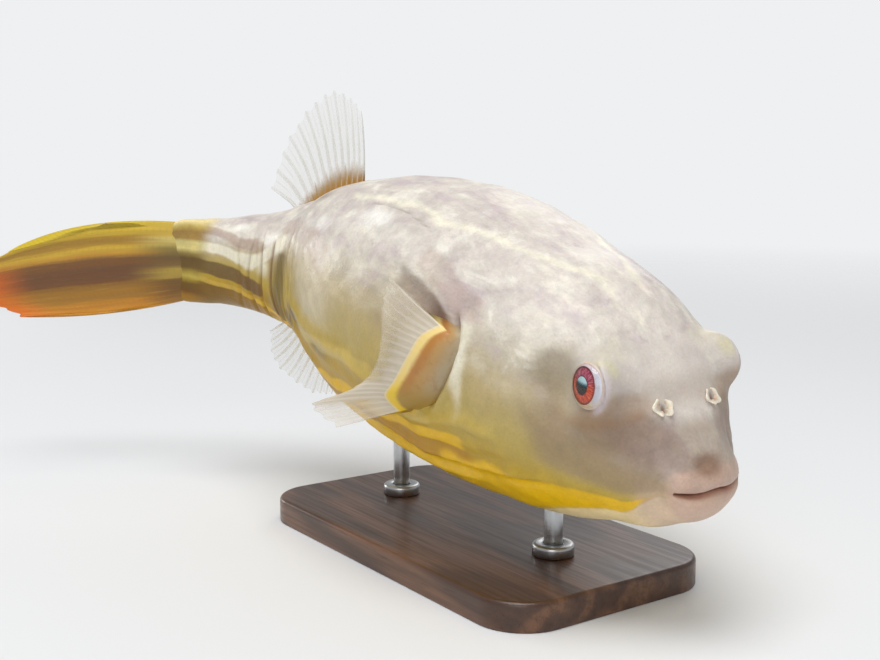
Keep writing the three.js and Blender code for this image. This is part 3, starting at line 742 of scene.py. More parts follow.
def skin_markings(mat, colour, mottle):
    """Each marking laid over the ground by its share, with ragged edges."""
    near_tail = mat.field("tail")
    # Several of these are painted light or shade, not the skin's own colour: shade on the flank's folds
    # and low flank, in the grooves beside the snout, under the eyes and at the turrets' lower fronts, in
    # the dimple over the upper lip, and in the creases and pits that share the tail band's brown; and
    # bounce light low on the front flank.
    markings = [
        ("haze", 0.7, (222, 212, 188)), ("jaw", 0.85, (206, 178, 150)), ("snout", 0.7, (148, 126, 104)),
        ("painted_flank_shade", 0.68, (88, 68, 20)), ("milk", 0.75, (252, 249, 240)), ("cream", 0.85, (244, 238, 216)),
        ("mauve", 0.7, (170, 140, 126)), ("olive", 0.62, (142, 124, 90)),
        ("muzzle_groove_shade", 0.5, (142, 116, 106)), ("shade_below_eye", 0.45, (134, 106, 78)),
        ("lemon", 0.4, (212, 206, 150)), ("turret_edge_shade", 0.5, (150, 114, 78)),
        ("chin", 0.9, mat.mix(mat.field("far_chin"), (222, 196, 168), (246, 224, 172))),
        ("sun", 0.75, (250, 216, 96)), ("lips", 0.8, (204, 172, 154)), ("gum", 0.6, (182, 126, 104)),
        ("straw", 0.7, (212, 186, 104)),
        ("ochre", 0.85, mat.mix(near_tail, (182, 132, 14), (114, 76, 0))),
        ("gold", 0.9, mat.mix(near_tail, (236, 188, 8), (206, 172, 70))),
        ("umber_band_and_shade", 0.85, mat.mix(near_tail, (112, 74, 48), (104, 78, 40))),
        ("dimple", 0.8, (132, 100, 78)), ("fin_root", 0.75, (176, 142, 88)),
        ("glassy", 0.6, (206, 196, 204))]
    for name, strength, tone in markings:
        share = mat.field(name)
        ragged = mat.plus(share, mat.waver(mottle, 0.4))
        edge = mat.times(mat.span(ragged, 0.08, 0.92), mat.span(share, 0.0, 0.1))
        colour = mat.lay(colour, edge, strength, tone)
    return colour


def paint_skin():
    """Tones by height and markings by their shares, mottled and flecked, over very fine prickles."""
    mat = Finish("puffer skin", Roughness=0.42, Subsurface_Weight=0.12, Subsurface_Scale=0.004,
                 Subsurface_Radius=(1.0, 0.45, 0.25), Specular_IOR_Level=0.35, Coat_Weight=0.08,
                 Coat_Roughness=0.25)
    straight = mat.field("straight", "Vector")
    mottle = mat.noise(straight, 120, 4, 0.6)
    height = mat.plus(mat.field("lift"), mat.waver(mat.noise(straight, 34, 3, 0.55), 0.07))
    # the back's pattern is weaker on the eyes' turrets
    off_eye = mat.span(mat.field("turret"), 0.0, 0.6, 1.0, 0.25)
    upper = mat.times(mat.span(mat.field("lift"), 0.53, 0.68), off_eye)
    colour = skin_markings(mat, skin_ground(mat, straight, height, upper), mottle)
    end_bands = mat.ramp(height, [
        (0.0, 180, 132, 40), (0.2, 158, 112, 10), (0.26, 116, 76, 0), (0.33, 114, 82, 0),
        (0.355, 160, 132, 30), (0.385, 198, 176, 76), (0.415, 166, 142, 56), (0.45, 112, 86, 30),
        (0.51, 106, 80, 32), (0.545, 150, 128, 66), (0.585, 226, 208, 132), (0.645, 216, 200, 130),
        (0.68, 168, 136, 72), (0.76, 158, 126, 66), (0.83, 192, 168, 92), (0.93, 236, 218, 158)])
    colour = mat.mix(mat.span(mat.field("warm_end"), 0.1, 0.9), colour, end_bands)
    flecks = mat.noise(mat.stretched(straight, (1.2, 0.8, 1.2)), 210, 4, 0.65, 0.6)
    flecks = mat.math("SUBTRACT", mat.span(flecks, 0.3, 0.7, 0.93, 1.06), 1.0)
    shade = mat.times(mat.span(mottle, 0.25, 0.75, 0.9, 1.06), mat.plus(1.0, mat.times(upper, flecks)))
    shade = mat.times(shade, mat.span(mat.noise(straight, 900, 2, 0.6), 0.2, 0.8, 0.95, 1.04))
    grey = mat.node("CombineColor", {"Red": shade, "Green": shade, "Blue": shade}).outputs[0]
    colour = mat.mix(1.0, colour, grey, "MULTIPLY")
    cells = mat.node("TexVoronoi", {"Vector": straight, "Scale": 520}).outputs["Distance"]
    normal = mat.bump(mat.span(cells, 0.0, 0.45, 1.0, 0.0), 0.22, 0.0004)
    normal = mat.bump(mat.noise(straight, 260, 3, 0.6), 0.25, 0.0009, normal)
    return mat.use(Base_Color=colour, Normal=normal, Roughness=mat.span(mottle, 0.2, 0.8, 0.36, 0.5))


place(shape_skin(), paint_skin(), "skin_head", "head", "trunk", "tail_stem", "upper_lip", "lower_lip")


# ---------------------------------------------------------------- eyes
def eye_ring(side, angle):
    """Way out from an eye's line of sight at each angle round it, with the eye's centre and look."""
    centre, look = eye_line(side)
    first = unit(np.cross([0, -side, 0], look))
    return centre, look, push(np.cos(angle), first) + push(np.sin(angle), np.cross(first, look))


def turned_about_look(name, radii, heights, side, fields=None, columns=96):
    """Profile of radius and height turned about an eye's line of sight, closed at both ends."""
    radii, heights = np.array([radii, heights])[..., None] + np.zeros(columns)
    angle = np.linspace(0, 2 * np.pi, columns, endpoint=False) + 0 * radii
    centre, look, ring = eye_ring(side, angle)
    spread = {key: np.repeat(values[:, None], columns, axis=1) for key, values in (fields or {}).items()}
    spread |= {"turn_x": np.cos(angle), "turn_y": np.sin(angle), "fore": -ring[..., 1]}
    return tube_mesh(name, to_world(swing(centre + push(radii, ring) + push(heights, look))), spread)


def shape_eyeball(side, name):
    """Flattened ball whose front steps down to a shallow domed iris and a round pupil."""
    ball = np.linspace(0.02 - np.pi / 2, np.arccos(IRIS_RADIUS / EYE_RADIUS), 48)
    ball_radius, ball_rise = EYE_RADIUS * np.cos(ball), EYE_DEPTH * np.sin(ball)
    ball_radius = ball_radius - 2.2 * (1 - smooth_step(ball_rise, 0.2, 2.0)) * np.cos(ball)
    iris = np.linspace(0, 1, 26)[1:]
    iris_edge = IRIS_RADIUS - 0.15
    iris_radius = iris_edge + (PUPIL_RADIUS - iris_edge) * iris
    iris_rise = ball_rise[-1] - 0.3 + 1.1 * np.sin(iris * np.pi / 2)
    lens = np.linspace(0, 1, 12)[1:] * np.pi / 2
    lens_radius = PUPIL_RADIUS * np.cos(lens) + 0.02
    lens_rise = iris_rise[-1] - 0.25 + 0.7 * np.sin(lens)
    radius = np.concatenate([ball_radius, iris_radius, lens_radius])
    rise = np.concatenate([ball_rise, iris_rise, lens_rise])
    return turned_about_look(name, radius, rise, side, {"spoke": radius / EYE_RADIUS,
                                                       "front": (rise > 0).astype(float)})


def shape_cornea(side, name):
    """Clear dome over the iris, a higher flattened ball, closed by a flat back hidden in the eyeball."""
    share = np.linspace(0, 1, 24)
    radius = CORNEA_RADIUS * np.cos(share * np.pi / 2) + 0.02
    rise = ball_height(radius / EYE_RADIUS, EYE_DEPTH) + 0.05
    rise += 1.0 * (1 - (radius / CORNEA_RADIUS) ** 2) - 0.4 * (share == 0)
    flat_back = 2.2
    return turned_about_look(name, np.concatenate([[0.02, CORNEA_RADIUS - 0.5], radius]),
                             np.concatenate([[flat_back, flat_back], rise]), side)


def shape_eye_rim(side, name):
    """Fleshy lid margin: a slender ring that lies on the ball round its opening."""
    columns, slices, half_width, half_height = 120, 16, 0.42, 0.52
    turn, angle = np.meshgrid(np.linspace(0, 2 * np.pi, columns, endpoint=False),
                              np.linspace(0, 2 * np.pi, slices, endpoint=False), indexing="ij")
    swell = 1 + 0.08 * np.sin(3 * turn + 1) + 0.06 * np.sin(7 * turn)
    centre, look, ring = eye_ring(side, turn)
    spoke = push(LID_RADIUS + half_width * swell * np.cos(angle), ring) - [0, LID_FORWARD, 0]
    ball = ball_height(np.linalg.norm(spoke, axis=-1) / EYE_RADIUS, EYE_DEPTH, 0.02)
    points = (centre + spoke + push(ball + half_height * swell * np.sin(angle), look)).reshape(-1, 3)
    here = np.arange(columns * slices).reshape(columns, slices)
    after = np.roll(here, -1, axis=1)
    faces = np.stack([here, after, np.roll(after, -1, axis=0), np.roll(here, -1, axis=0)], axis=-1)
    return build_mesh(name, to_world(swing(points)), faces.reshape(-1, 4).tolist(), {
        "inner": ((1 - np.cos(angle)) / 2).ravel(), "straight": points * MM,
        "fore": smooth_step(-ring[..., 1], -0.1, 0.8).ravel()})


def paint_eyeball():
    """Pale sclera with a painted pale blue reflection at its front, a dark limbus line, an iris of red
    and orange fibres, purple above, black pupil with a painted glint above.
    """
    mat = Finish("puffer eye", Roughness=0.22)
    spoke, turn_x = mat.field("spoke"), mat.field("turn_x")
    turn = mat.node("CombineXYZ", {"X": turn_x, "Y": mat.field("turn_y"),
                                   "Z": mat.times(spoke, 0.5)}).outputs[0]
    fibres = mat.noise(turn, 9, 5, 0.65)
    iris = mat.ramp(fibres, [(0.28, 140, 26, 22), (0.45, 206, 56, 34), (0.58, 232, 104, 56),
                             (0.75, 250, 176, 120)])
    purple = mat.mix(mat.span(fibres, 0.4, 0.65), (132, 40, 72), (206, 128, 156))
    iris = mat.lay(iris, mat.span(turn_x, -0.15, 0.75), 0.85, purple)
    iris = mat.lay(iris, mat.span(spoke, 0.41, 0.35), 0.6, (34, 14, 18))
    iris = mat.lay(iris, mat.span(spoke, 0.6, 0.7), 0.85, (104, 26, 34))
    sclera = mat.ramp(mat.noise(turn, 5, 4, 0.6), [(0.3, 206, 196, 208), (0.55, 226, 212, 214),
                                                   (0.75, 224, 190, 186)])
    sclera = mat.lay(sclera, mat.span(turn_x, -0.2, -0.8), 0.65, (236, 204, 134))
    # painted reflection: pale blue over the front of the sclera
    fore = mat.times(mat.span(mat.field("fore"), 0.3, 0.9), mat.span(spoke, 0.7, 0.8))
    sclera = mat.lay(sclera, fore, 0.5, (200, 214, 232))
    colour = mat.mix(mat.span(spoke, 0.735, 0.715), sclera, iris)
    pupil = mat.times(mat.span(spoke, 0.352, 0.338), mat.field("front"))
    # painted highlight: the pupil goes from black-green below to a pale cyan glint above
    tilted = mat.plus(mat.times(turn_x, spoke), mat.waver(fibres, 0.15))
    sheen = mat.ramp(mat.span(tilted, -0.28, 0.28), [(0.2, 4, 16, 10), (0.5, 6, 34, 34),
                                                     (0.7, 40, 104, 116), (0.92, 186, 222, 228)])
    return mat.use(Base_Color=mat.mix(pupil, colour, sheen), Normal=mat.bump(fibres, 0.3, 0.0003))


def paint_cornea():
    """Clear wet film: a mirror that shows only as far as its Fresnel share."""
    mat = Finish("clear cornea", Roughness=0.03, Metallic=1.0, Base_Color=(1, 1, 1, 1))
    fresnel = mat.node("Fresnel", {"IOR": 1.4}).outputs[0]
    film = mat.noise(mat.object_place(), 300, 2, 0.5)
    return mat.use(Alpha=mat.plus(mat.times(fresnel, 0.7), mat.span(film, 0.2, 0.8, 0.0, 0.02)))


def paint_eye_rim():
    """Pinkish lid margin, paler and yellower at its free edge, finely mottled."""
    mat = Finish("eye rim", Roughness=0.4, Subsurface_Weight=0.12, Subsurface_Scale=0.002)
    mottle = mat.noise(mat.field("straight", "Vector"), 700, 3, 0.6)
    colour = mat.mix(mat.field("inner"), (208, 190, 168), (224, 204, 184))
    colour = mat.lay(colour, mat.field("fore"), 0.8, (206, 190, 186))
    colour = mat.mix(mat.span(mottle, 0.45, 0.75, 0, 0.4), colour, (206, 166, 130))
    return mat.use(Base_Color=colour, Normal=mat.bump(mottle, 0.3, 0.0003))


eye_paint, cornea_paint, rim_paint = paint_eyeball(), paint_cornea(), paint_eye_rim()
for eye_side, eye_name in ((-1, "right"), (1, "left")):
    place(shape_eyeball(eye_side, f"eyeball_{eye_name}"), eye_paint, "eyes", f"eye_{eye_name}")
    place(shape_cornea(eye_side, f"cornea_{eye_name}"), cornea_paint, "eyes")
    place(shape_eye_rim(eye_side, f"eye_rim_{eye_name}"), rim_paint, "skin_head")


# ---------------------------------------------------------------- nostril flaps
def shape_nostril(side, name):
    """Open ring of flesh round the pit: two crescents, each a flattened tube bent along an arc of a
    circle that lies on the skin, its width swelling and rounding off, its outer edge raised."""
    share, angle = np.meshgrid(np.linspace(0, 1, 30), np.linspace(0, 2 * np.pi, 20, endpoint=False),
                               indexing="ij")
    facing = unit(np.array(NOSTRIL_FACING) * [side, 1, 1])
    level = unit(np.cross(facing, [0, 0, 1]))
    middle = np.array([side * NOSTRIL_SIDE, NOSTRIL_BACK, NOSTRIL_UP])
    ring_radius, widest = 2.7, 1.35
    bend = np.radians(-82 + 150 * share)
    tubes = []
    for turn in (-1, 1):
        width = widest * (1.001 - (2 * share - 1) ** 4) ** 0.5 * (1 + 0.3 * np.sin(13 * share + turn))
        out = width * np.cos(angle)
        x, y = turn * (ring_radius + out) * np.cos(bend), (ring_radius + out) * np.sin(bend)
        z = 0.45 * width * np.sin(angle) + 0.3 * out + 0.4 * np.sin(8 * share + turn)
        tube = middle + push(x, level) + push(y, np.cross(level, facing)) + push(z, facing)
        tube = to_world(swing(tube))
        if (outward(tube) * (tube - tube.mean(1, keepdims=True))).sum() < 0:
            tube = tube[:, ::-1]
        tubes.append(tube)
    return tube_mesh(name, tubes, {"tip": [0.5 + 0.5 * np.cos(angle)] * 2})


def paint_nostril():
    """Cream flesh, pinker at the root, finely pitted."""
    mat = Finish("nostril flap", Roughness=0.4, Subsurface_Weight=0.2, Subsurface_Scale=0.002)
    pits = mat.noise(mat.object_place(), 900, 3, 0.6)
    colour = mat.mix(mat.span(mat.field("tip"), 0.1, 0.8), (204, 184, 160), (238, 230, 212))
    colour = mat.mix(mat.span(pits, 0.5, 0.8, 0, 0.5), colour, (188, 166, 140))
    return mat.use(Base_Color=colour, Normal=mat.bump(pits, 0.4, 0.0003))


nostril_paint = paint_nostril()
for nostril_side, nostril_name in ((-1, "nostril_right"), (1, "nostril_left")):
    place(shape_nostril(nostril_side, f"{nostril_name}_flap"), nostril_paint, "skin_head", nostril_name)


# ---------------------------------------------------------------- fins
# Each fan is the roots, bends and tips of its rays, from its leading or top edge round to the last.
DORSAL = (
    [[0, 244, 46], [0, 260, 41], [0, 275, 33], [0, 289, 26]],
    [[1, 244, 70], [2, 263, 68], [2, 282, 57], [1, 296, 36]],
    [[0, 247, 88], [-1, 257, 96], [-2, 272, 95], [-2, 288, 83], [-1, 301, 65], [0, 311, 41]])
ANAL = (
    [[0, 260, -36], [0, 272, -33], [0, 285, -29], [0, 296, -25]],
    [[-1, 264, -54], [-2, 278, -52], [-2, 293, -46], [-1, 302, -34]],
    [[0, 268, -67], [1, 282, -70], [2, 299, -66], [1, 311, -55], [0, 312, -39]])
TAIL = (
    [[0, 358, 18], [0, 358, -3], [0, 358, -25]],
    [[3, 425, 20], [4, 425, -9], [3, 410, -41]],
    [[-3, 462, -4], [-2, 475, -12], [0, 481, -23], [-1, 476, -33], [-3, 458, -40]])
PECTORAL_LOBE = (
    [[-44, 95, 22.5], [-45, 93, 15], [-46, 97, 4], [-47, 103, -6], [-48, 112, -15]],
    [[-54, 93, 22.5], [-58, 95, 16], [-60, 101, 7], [-60, 108, -5], [-55, 113, -14]],
    [[-52, 96, 22], [-56.5, 101.5, 18], [-60, 105, 10.5], [-61.5, 113, -2], [-61, 117.5, -9],
     [-56, 116, -15]])
PECTORAL_VANE = (
    [[-51.5, 97, 22], [-56.5, 102.5, 18], [-60, 106, 10.5], [-61.5, 114, -2], [-61, 118.5, -9],
     [-56, 117, -15.5]],
    [[-60, 112, 32], [-67, 117, 23], [-68, 121, 13.5], [-68, 129, -3], [-69, 142, -15], [-66, 134, -24]],
    [[-59, 130, 37.5], [-60, 132, 25], [-60, 130, 12], [-61, 134, -3], [-66, 147, -15], [-74, 165, -26],
     [-73, 144, -30]])
DORSAL_RAYS, ANAL_RAYS, TAIL_RAYS, PECTORAL_RAYS = 12, 11, 10, 17


def mirrored(fan):
    """The same fan on the fish's other side, its rays taken the other way round."""
    return [[[-side, back, up] for side, back, up in reversed(rows)] for rows in fan]


def fan_points(fan, across, out):
    """Parabola of each ray, with root, bend and tip blended across the fan."""
    root, bend, tip = (blend_rows(rows, across * (len(rows) - 1)) for rows in fan)
    return push((1 - out) ** 2, root) + push(2 * out * (1 - out), bend) + push(out ** 2, tip)


def ray_ridges(turn, out, fork):
    """Waves across the rays, 1 on each ray: plain, and forked in two beyond a share of its length."""
    single, double = 0.5 + 0.5 * np.cos(2 * np.pi * turn), 0.5 + 0.5 * np.cos(4 * np.pi * turn)
    forked = smooth_step(out, fork, fork + 0.3)
    return single, (single * (1 - forked) + (0.35 * single + 0.65 * double) * forked) ** 1.6


def torn_edge(turn, rays, rng):
    """Uneven depth, 0 to 1, of the notches between rays and their branches."""
    return np.interp(turn, np.arange(0, rays + 0.5, 0.5), rng.uniform(0, 1, 2 * rays + 1))


def closed_vane(name, points, normal, near, far, fields):
    """Closed sheet whose faces stand off a grid of points by near on one side and far on the other."""
    ring = np.concatenate([points + push(near, normal), (points - push(far, normal))[:, ::-1]], axis=1)
    both = {key: np.concatenate([values, values[:, ::-1]], axis=1) for key, values in fields.items()}
    return tube_mesh(name, to_world(ring), both)


def shape_fin(name, fan, rays, film, rib, root, fleshy, scallop=0.05, steps=56, seed=1):
    """Thin closed vane: a film with a rounded rib along every ray, each forking towards its tip,
    thick at the fleshy root, its margin drawn in between the rays."""
    per_ray, ragged, fork = 12, 0.02, 0.45
    across, out = np.meshgrid(np.linspace(0, 1, rays * per_ray + 1), np.linspace(0, 1, steps + 1),
                              indexing="ij")
    turn = across * rays
    single, ridge = ray_ridges(turn, out, fork)
    rng = np.random.default_rng(seed)
    uneven = np.interp(turn, np.arange(rays + 1), rng.uniform(-1, 1, rays + 1))
    notch = scallop * (1 - single) * (0.6 + 0.4 * torn_edge(turn, rays, rng)) + ragged * (1 + uneven)
    points = swing(fan_points(fan, across, out * (1 - notch * smooth_step(out, 0.4, 1.0))))
    oval = np.sqrt(np.clip(1 - (2 * across - 1) ** 2, 0, 1))
    body = film + (root - film) * (1 - np.minimum(out / fleshy, 1)) ** 2 * oval
    rise = rib * ridge * (1 - 0.65 * out) * smooth_step(out, 0.0, 0.22)
    half = 0.5 * (body + rise) * (1 - 0.6 * smooth_step(out, 0.9, 1.0))
    return closed_vane(name, points, outward(points, closed=False), half, half,
                       {"across": across, "out": out, "ridge": ridge})


def shape_pectoral(name, lobe, vane, flip):
    """Fleshy lobe and rayed vane as one closed sheet: each ray runs up the lobe, turns over the
    crest, which is rounded by averaging, and goes on along the vane; ribs stand up on the vane."""
    rays, per_ray, lobe_steps, vane_steps, roundings, evenings = PECTORAL_RAYS, 10, 34, 62, 60, 12
    crest_flesh, root_flesh, film, rib, notch, sway = 3.6, 4.0, 0.4, 0.26, 0.07, 0.8
    across, step = np.meshgrid(np.linspace(0, 1, rays * per_ray + 1), np.arange(lobe_steps + vane_steps),
                               indexing="ij")
    on_lobe = step < lobe_steps
    out = np.clip((step - lobe_steps + 1) / vane_steps, 0, 1)
    turn = across * rays
    single, ridge = ray_ridges(turn, out, 0.45)
    torn = torn_edge(turn, rays, np.random.default_rng(6))
    run = out * (1 - notch * (1 - single) * (0.4 + 0.6 * torn) * smooth_step(out, 0.4, 1.0))
    on_lobe_points = fan_points(lobe, across, np.clip(step / (lobe_steps - 1), 0, 1))
    points = np.where(on_lobe[..., None], on_lobe_points, fan_points(vane, across, run))
    crest = 0.8 * hump(step, lobe_steps, 9.0)
    for _ in range(roundings):
        smoothed = points.copy()
        smoothed[:, 1:-1] = (points[:, :-2] + points[:, 2:]) / 2
        points = points + push(crest, smoothed - points)
    normal = outward(points, closed=False)
    for _ in range(evenings):
        normal[:, 1:-1] = (normal[:, :-2] + normal[:, 1:-1] + normal[:, 2:]) / 3
    normal = unit(normal)
    flesh = 1 - smooth_step(step, lobe_steps - 4, lobe_steps + 10)
    ends = np.clip(1 - np.abs(2 * across - 1) ** 8, 0, 1) ** 0.5
    thick = crest_flesh + root_flesh * np.clip(1 - step / lobe_steps, 0, 1) ** 2
    thick = thick * flesh * (0.15 + 0.85 * ends)
    thin = film + rib * ridge * (1 - flesh) * (1 - 0.6 * out)
    half = 0.5 * (thick + thin * (1 - 0.6 * smooth_step(out, 0.9, 1.0)))
    wrinkle = 0.3 * ripple(points, 7, 21) * flesh
    wave = sway * np.sin(2 * np.pi * (1.4 * across + 0.25 * out)) * out ** 2
    fields = {"across": across, "down": 1 - across if flip else across, "flesh": flesh,
              "ridge": ridge * (1 - flesh),
              "out": np.where(on_lobe, 0.4 * step / lobe_steps, 0.4 + 0.6 * out)}
    return closed_vane(name, points + push(wave, normal), normal, half + wrinkle, half, fields)


def ray_grain(mat, rays, joint_count=26):
    """Fine streaks that follow the rays, and the small joints across them."""
    place_on_fin = mat.node("CombineXYZ", {"X": mat.times(mat.field("across"), float(rays)),
                                           "Y": mat.times(mat.field("out"), 1.2)}).outputs[0]
    streaks = mat.noise(place_on_fin, 3.2, 4, 0.65)
    joints = mat.math("SINE", mat.times(mat.field("out"), joint_count * 2 * np.pi))
    return streaks, mat.times(mat.span(joints, 0.2, 1.0), mat.field("ridge"))


def paint_clear_fin(name, rays, film, rib, root, film_alpha, rib_alpha, root_reach):
    """Clear film between paler ribs, with a coloured fleshy root that fades out along the rays."""
    mat = Finish(name, Roughness=0.35)
    streaks, joints = ray_grain(mat, rays)
    ridge, out = mat.field("ridge"), mat.field("out")
    colour = mat.mix(mat.span(ridge, 0.3, 0.8), film, rib)
    colour = mat.lay(colour, joints, 0.12, (170, 162, 150))
    fleshy = mat.span(mat.plus(out, mat.waver(streaks, 0.25)), root_reach, root_reach * 0.35)
    alpha = mat.span(ridge, 0.25, 0.85, film_alpha, rib_alpha)
    alpha = mat.times(alpha, mat.span(streaks, 0.25, 0.75, 0.75, 1.15))
    alpha = mat.times(alpha, mat.span(out, 0.55, 1.0, 1.0, 0.6))
    alpha = mat.math("MAXIMUM", alpha, mat.times(fleshy, 0.97), clamp=True)
    return mat.use(Base_Color=mat.mix(fleshy, colour, root), Alpha=alpha,
                   Normal=mat.bump(streaks, 0.25, 0.0003))


def paint_tail_fin():
    """Lengthwise bands of yellow, olive brown and orange across the fan, reddening to its end, that
    carry on the stem's own bands near the body."""
    mat = Finish("tail fin bands", Roughness=0.42, Subsurface_Weight=0.08, Subsurface_Scale=0.002,
                 Coat_Weight=0.12, Coat_Roughness=0.25)
    streaks, joints = ray_grain(mat, TAIL_RAYS, 34)
    across, out = mat.field("across"), mat.field("out")
    shift = mat.waver(streaks, 0.09)
    band = mat.plus(across, shift)
    colour = mat.ramp(band, [
        (0.0, 226, 196, 56), (0.13, 210, 174, 40), (0.18, 166, 126, 34), (0.26, 178, 136, 36),
        (0.31, 218, 178, 50), (0.38, 190, 138, 40), (0.43, 126, 82, 30), (0.56, 108, 68, 34),
        (0.66, 114, 72, 30), (0.72, 152, 106, 22), (0.84, 166, 116, 26), (0.91, 196, 130, 22),
        (1.0, 214, 148, 34)])
    near_body = mat.ramp(band, [
        (0.0, 206, 176, 62), (0.16, 204, 168, 66), (0.2, 214, 192, 112), (0.25, 204, 182, 100),
        (0.32, 142, 122, 56), (0.44, 110, 82, 36), (0.54, 124, 94, 40), (0.6, 176, 148, 56),
        (0.67, 170, 140, 52), (0.725, 114, 78, 12), (0.87, 120, 80, 14), (1.0, 166, 116, 28)])
    colour = mat.mix(mat.span(mat.plus(out, mat.times(shift, 2.0)), 0.3, 0.06), colour, near_body)
    red = mat.times(mat.span(out, 0.72, 1.0), mat.span(across, 0.3, 0.5))
    colour = mat.lay(colour, red, 0.8, (226, 108, 0))
    colour = mat.lay(colour, joints, 0.08, (96, 60, 24))
    colour = mat.mix(mat.span(streaks, 0.55, 0.8, 0, 0.16), colour, (226, 196, 96))
    return mat.use(Base_Color=colour, Normal=mat.bump(streaks, 0.4, 0.0005))


def paint_pectoral():
    """Orange-tan lobe, cream at its top and crest and bright yellow below; milky film between ribs."""
    mat = Finish("pectoral fin", Roughness=0.4)
    speck = mat.noise(mat.object_place(), 230, 4, 0.6)
    streaks, _ = ray_grain(mat, PECTORAL_RAYS)
    out, down, ridge, flesh = (mat.field(key) for key in ("out", "down", "ridge", "flesh"))
    drift = mat.waver(speck, 0.12)
    inward = mat.plus(out, drift)
    lobe = mat.mix(mat.span(inward, 0.1, 0.22), (178, 160, 128), (188, 148, 90))
    lobe = mat.mix(mat.span(inward, 0.2, 0.3), lobe, (182, 124, 58))
    lobe = mat.mix(mat.span(down, 0.5, 0.85), lobe, (164, 130, 48))
    lobe = mat.mix(mat.span(speck, 0.5, 0.75, 0, 0.4), lobe, (150, 114, 72))
    crest = mat.mix(mat.span(down, 0.45, 0.75), (236, 208, 132), (232, 194, 30))
    lobe = mat.mix(mat.span(mat.plus(out, mat.times(drift, 0.4)), 0.32, 0.385), lobe, crest)
    film = mat.mix(mat.span(ridge, 0.2, 0.9), (220, 208, 184), (226, 215, 196))
    film = mat.mix(mat.span(streaks, 0.35, 0.7, 0, 0.4), film, (214, 204, 192))
    colour = mat.mix(mat.span(mat.plus(flesh, mat.waver(streaks, 0.5)), 0.1, 0.6), film, lobe)
    streamer = mat.times(mat.span(down, 0.56, 0.68), mat.span(down, 0.9, 0.8))
    milky = mat.math("MAXIMUM", mat.span(out, 0.75, 0.42), streamer)
    alpha = mat.plus(mat.span(milky, 0.0, 1.0, 0.26, 0.78), mat.times(ridge, 0.1))
    alpha = mat.times(alpha, mat.span(streaks, 0.25, 0.75, 0.85, 1.1))
    alpha = mat.times(alpha, mat.span(out, 0.86, 1.0, 1.0, 0.7))
    alpha = mat.math("MAXIMUM", alpha, mat.span(flesh, 0.0, 0.3), clamp=True)
    return mat.use(Base_Color=colour, Alpha=alpha, Normal=mat.bump(speck, 0.2, 0.0005))


place(shape_fin("dorsal_rays", DORSAL, DORSAL_RAYS, film=0.3, rib=0.8, root=5.0, fleshy=0.3, seed=3),
      paint_clear_fin("dorsal film", DORSAL_RAYS, film=(212, 204, 184), rib=(224, 221, 212),
                      root=(178, 132, 52), film_alpha=0.1, rib_alpha=0.42, root_reach=0.4),
      "clear_fins", "dorsal_fin")
place(shape_fin("anal_rays", ANAL, ANAL_RAYS, film=0.3, rib=0.8, root=5.0, fleshy=0.3, seed=4),
      paint_clear_fin("anal film", ANAL_RAYS, film=(214, 206, 184), rib=(226, 218, 192),
                      root=(190, 150, 66), film_alpha=0.12, rib_alpha=0.42, root_reach=0.2),
      "clear_fins", "anal_fin")
place(shape_fin("tail_rays", TAIL, TAIL_RAYS, film=0.8, rib=0.9, root=9.0, fleshy=0.55, scallop=0.03,
                steps=90, seed=5), paint_tail_fin(), "tail_fin", "tail_fin")
pectoral_paint = paint_pectoral()
for fin_name, reflect in (("pectoral_fin_right", False), ("pectoral_fin_left", True)):
    fin_lobe, fin_vane = (mirrored(fan) if reflect else fan for fan in (PECTORAL_LOBE, PECTORAL_VANE))
    place(shape_pectoral(f"{fin_name}_rays", fin_lobe, fin_vane, reflect), pectoral_paint,
          "pectoral_fins", fin_name)


# ---------------------------------------------------------------- stand
BASE_WIDTH, BASE_LENGTH, BASE_HEIGHT, BASE_CORNER = 110.0, 200.0, 12.0, 22.0
BASE_BEVEL, FOOT_BEVEL = 2.0, 0.6       # easing of the upper and the lower edge
ROD_RADIUS, ROD_SEAT, ROD_BITE, ROD_EASE = 4.0, 6.3, 9.0, 0.6
RODS = {"front": (-58.0, 38.5), "rear": (58.0, 53.5)}       # place along Y, height of the belly there
COLLAR_RADIUS, COLLAR_HEIGHT, COLLAR_CHAMFER, COLLAR_FOOT = 9.0, 5.0, 1.5, 12.3


def lathe(name, profile, along_y, columns=96):
    """Profile of (radius, height) turned about an upright axis, closed at both ends."""
    angle = np.linspace(0, -2 * np.pi, columns, endpoint=False)
    radii, heights = np.array(profile, dtype=float).T[:, :, None] + 0 * angle
    points = np.stack([radii * np.cos(angle), along_y + radii * np.sin(angle), heights], axis=-1)
    return tube_mesh(name, points * MM)


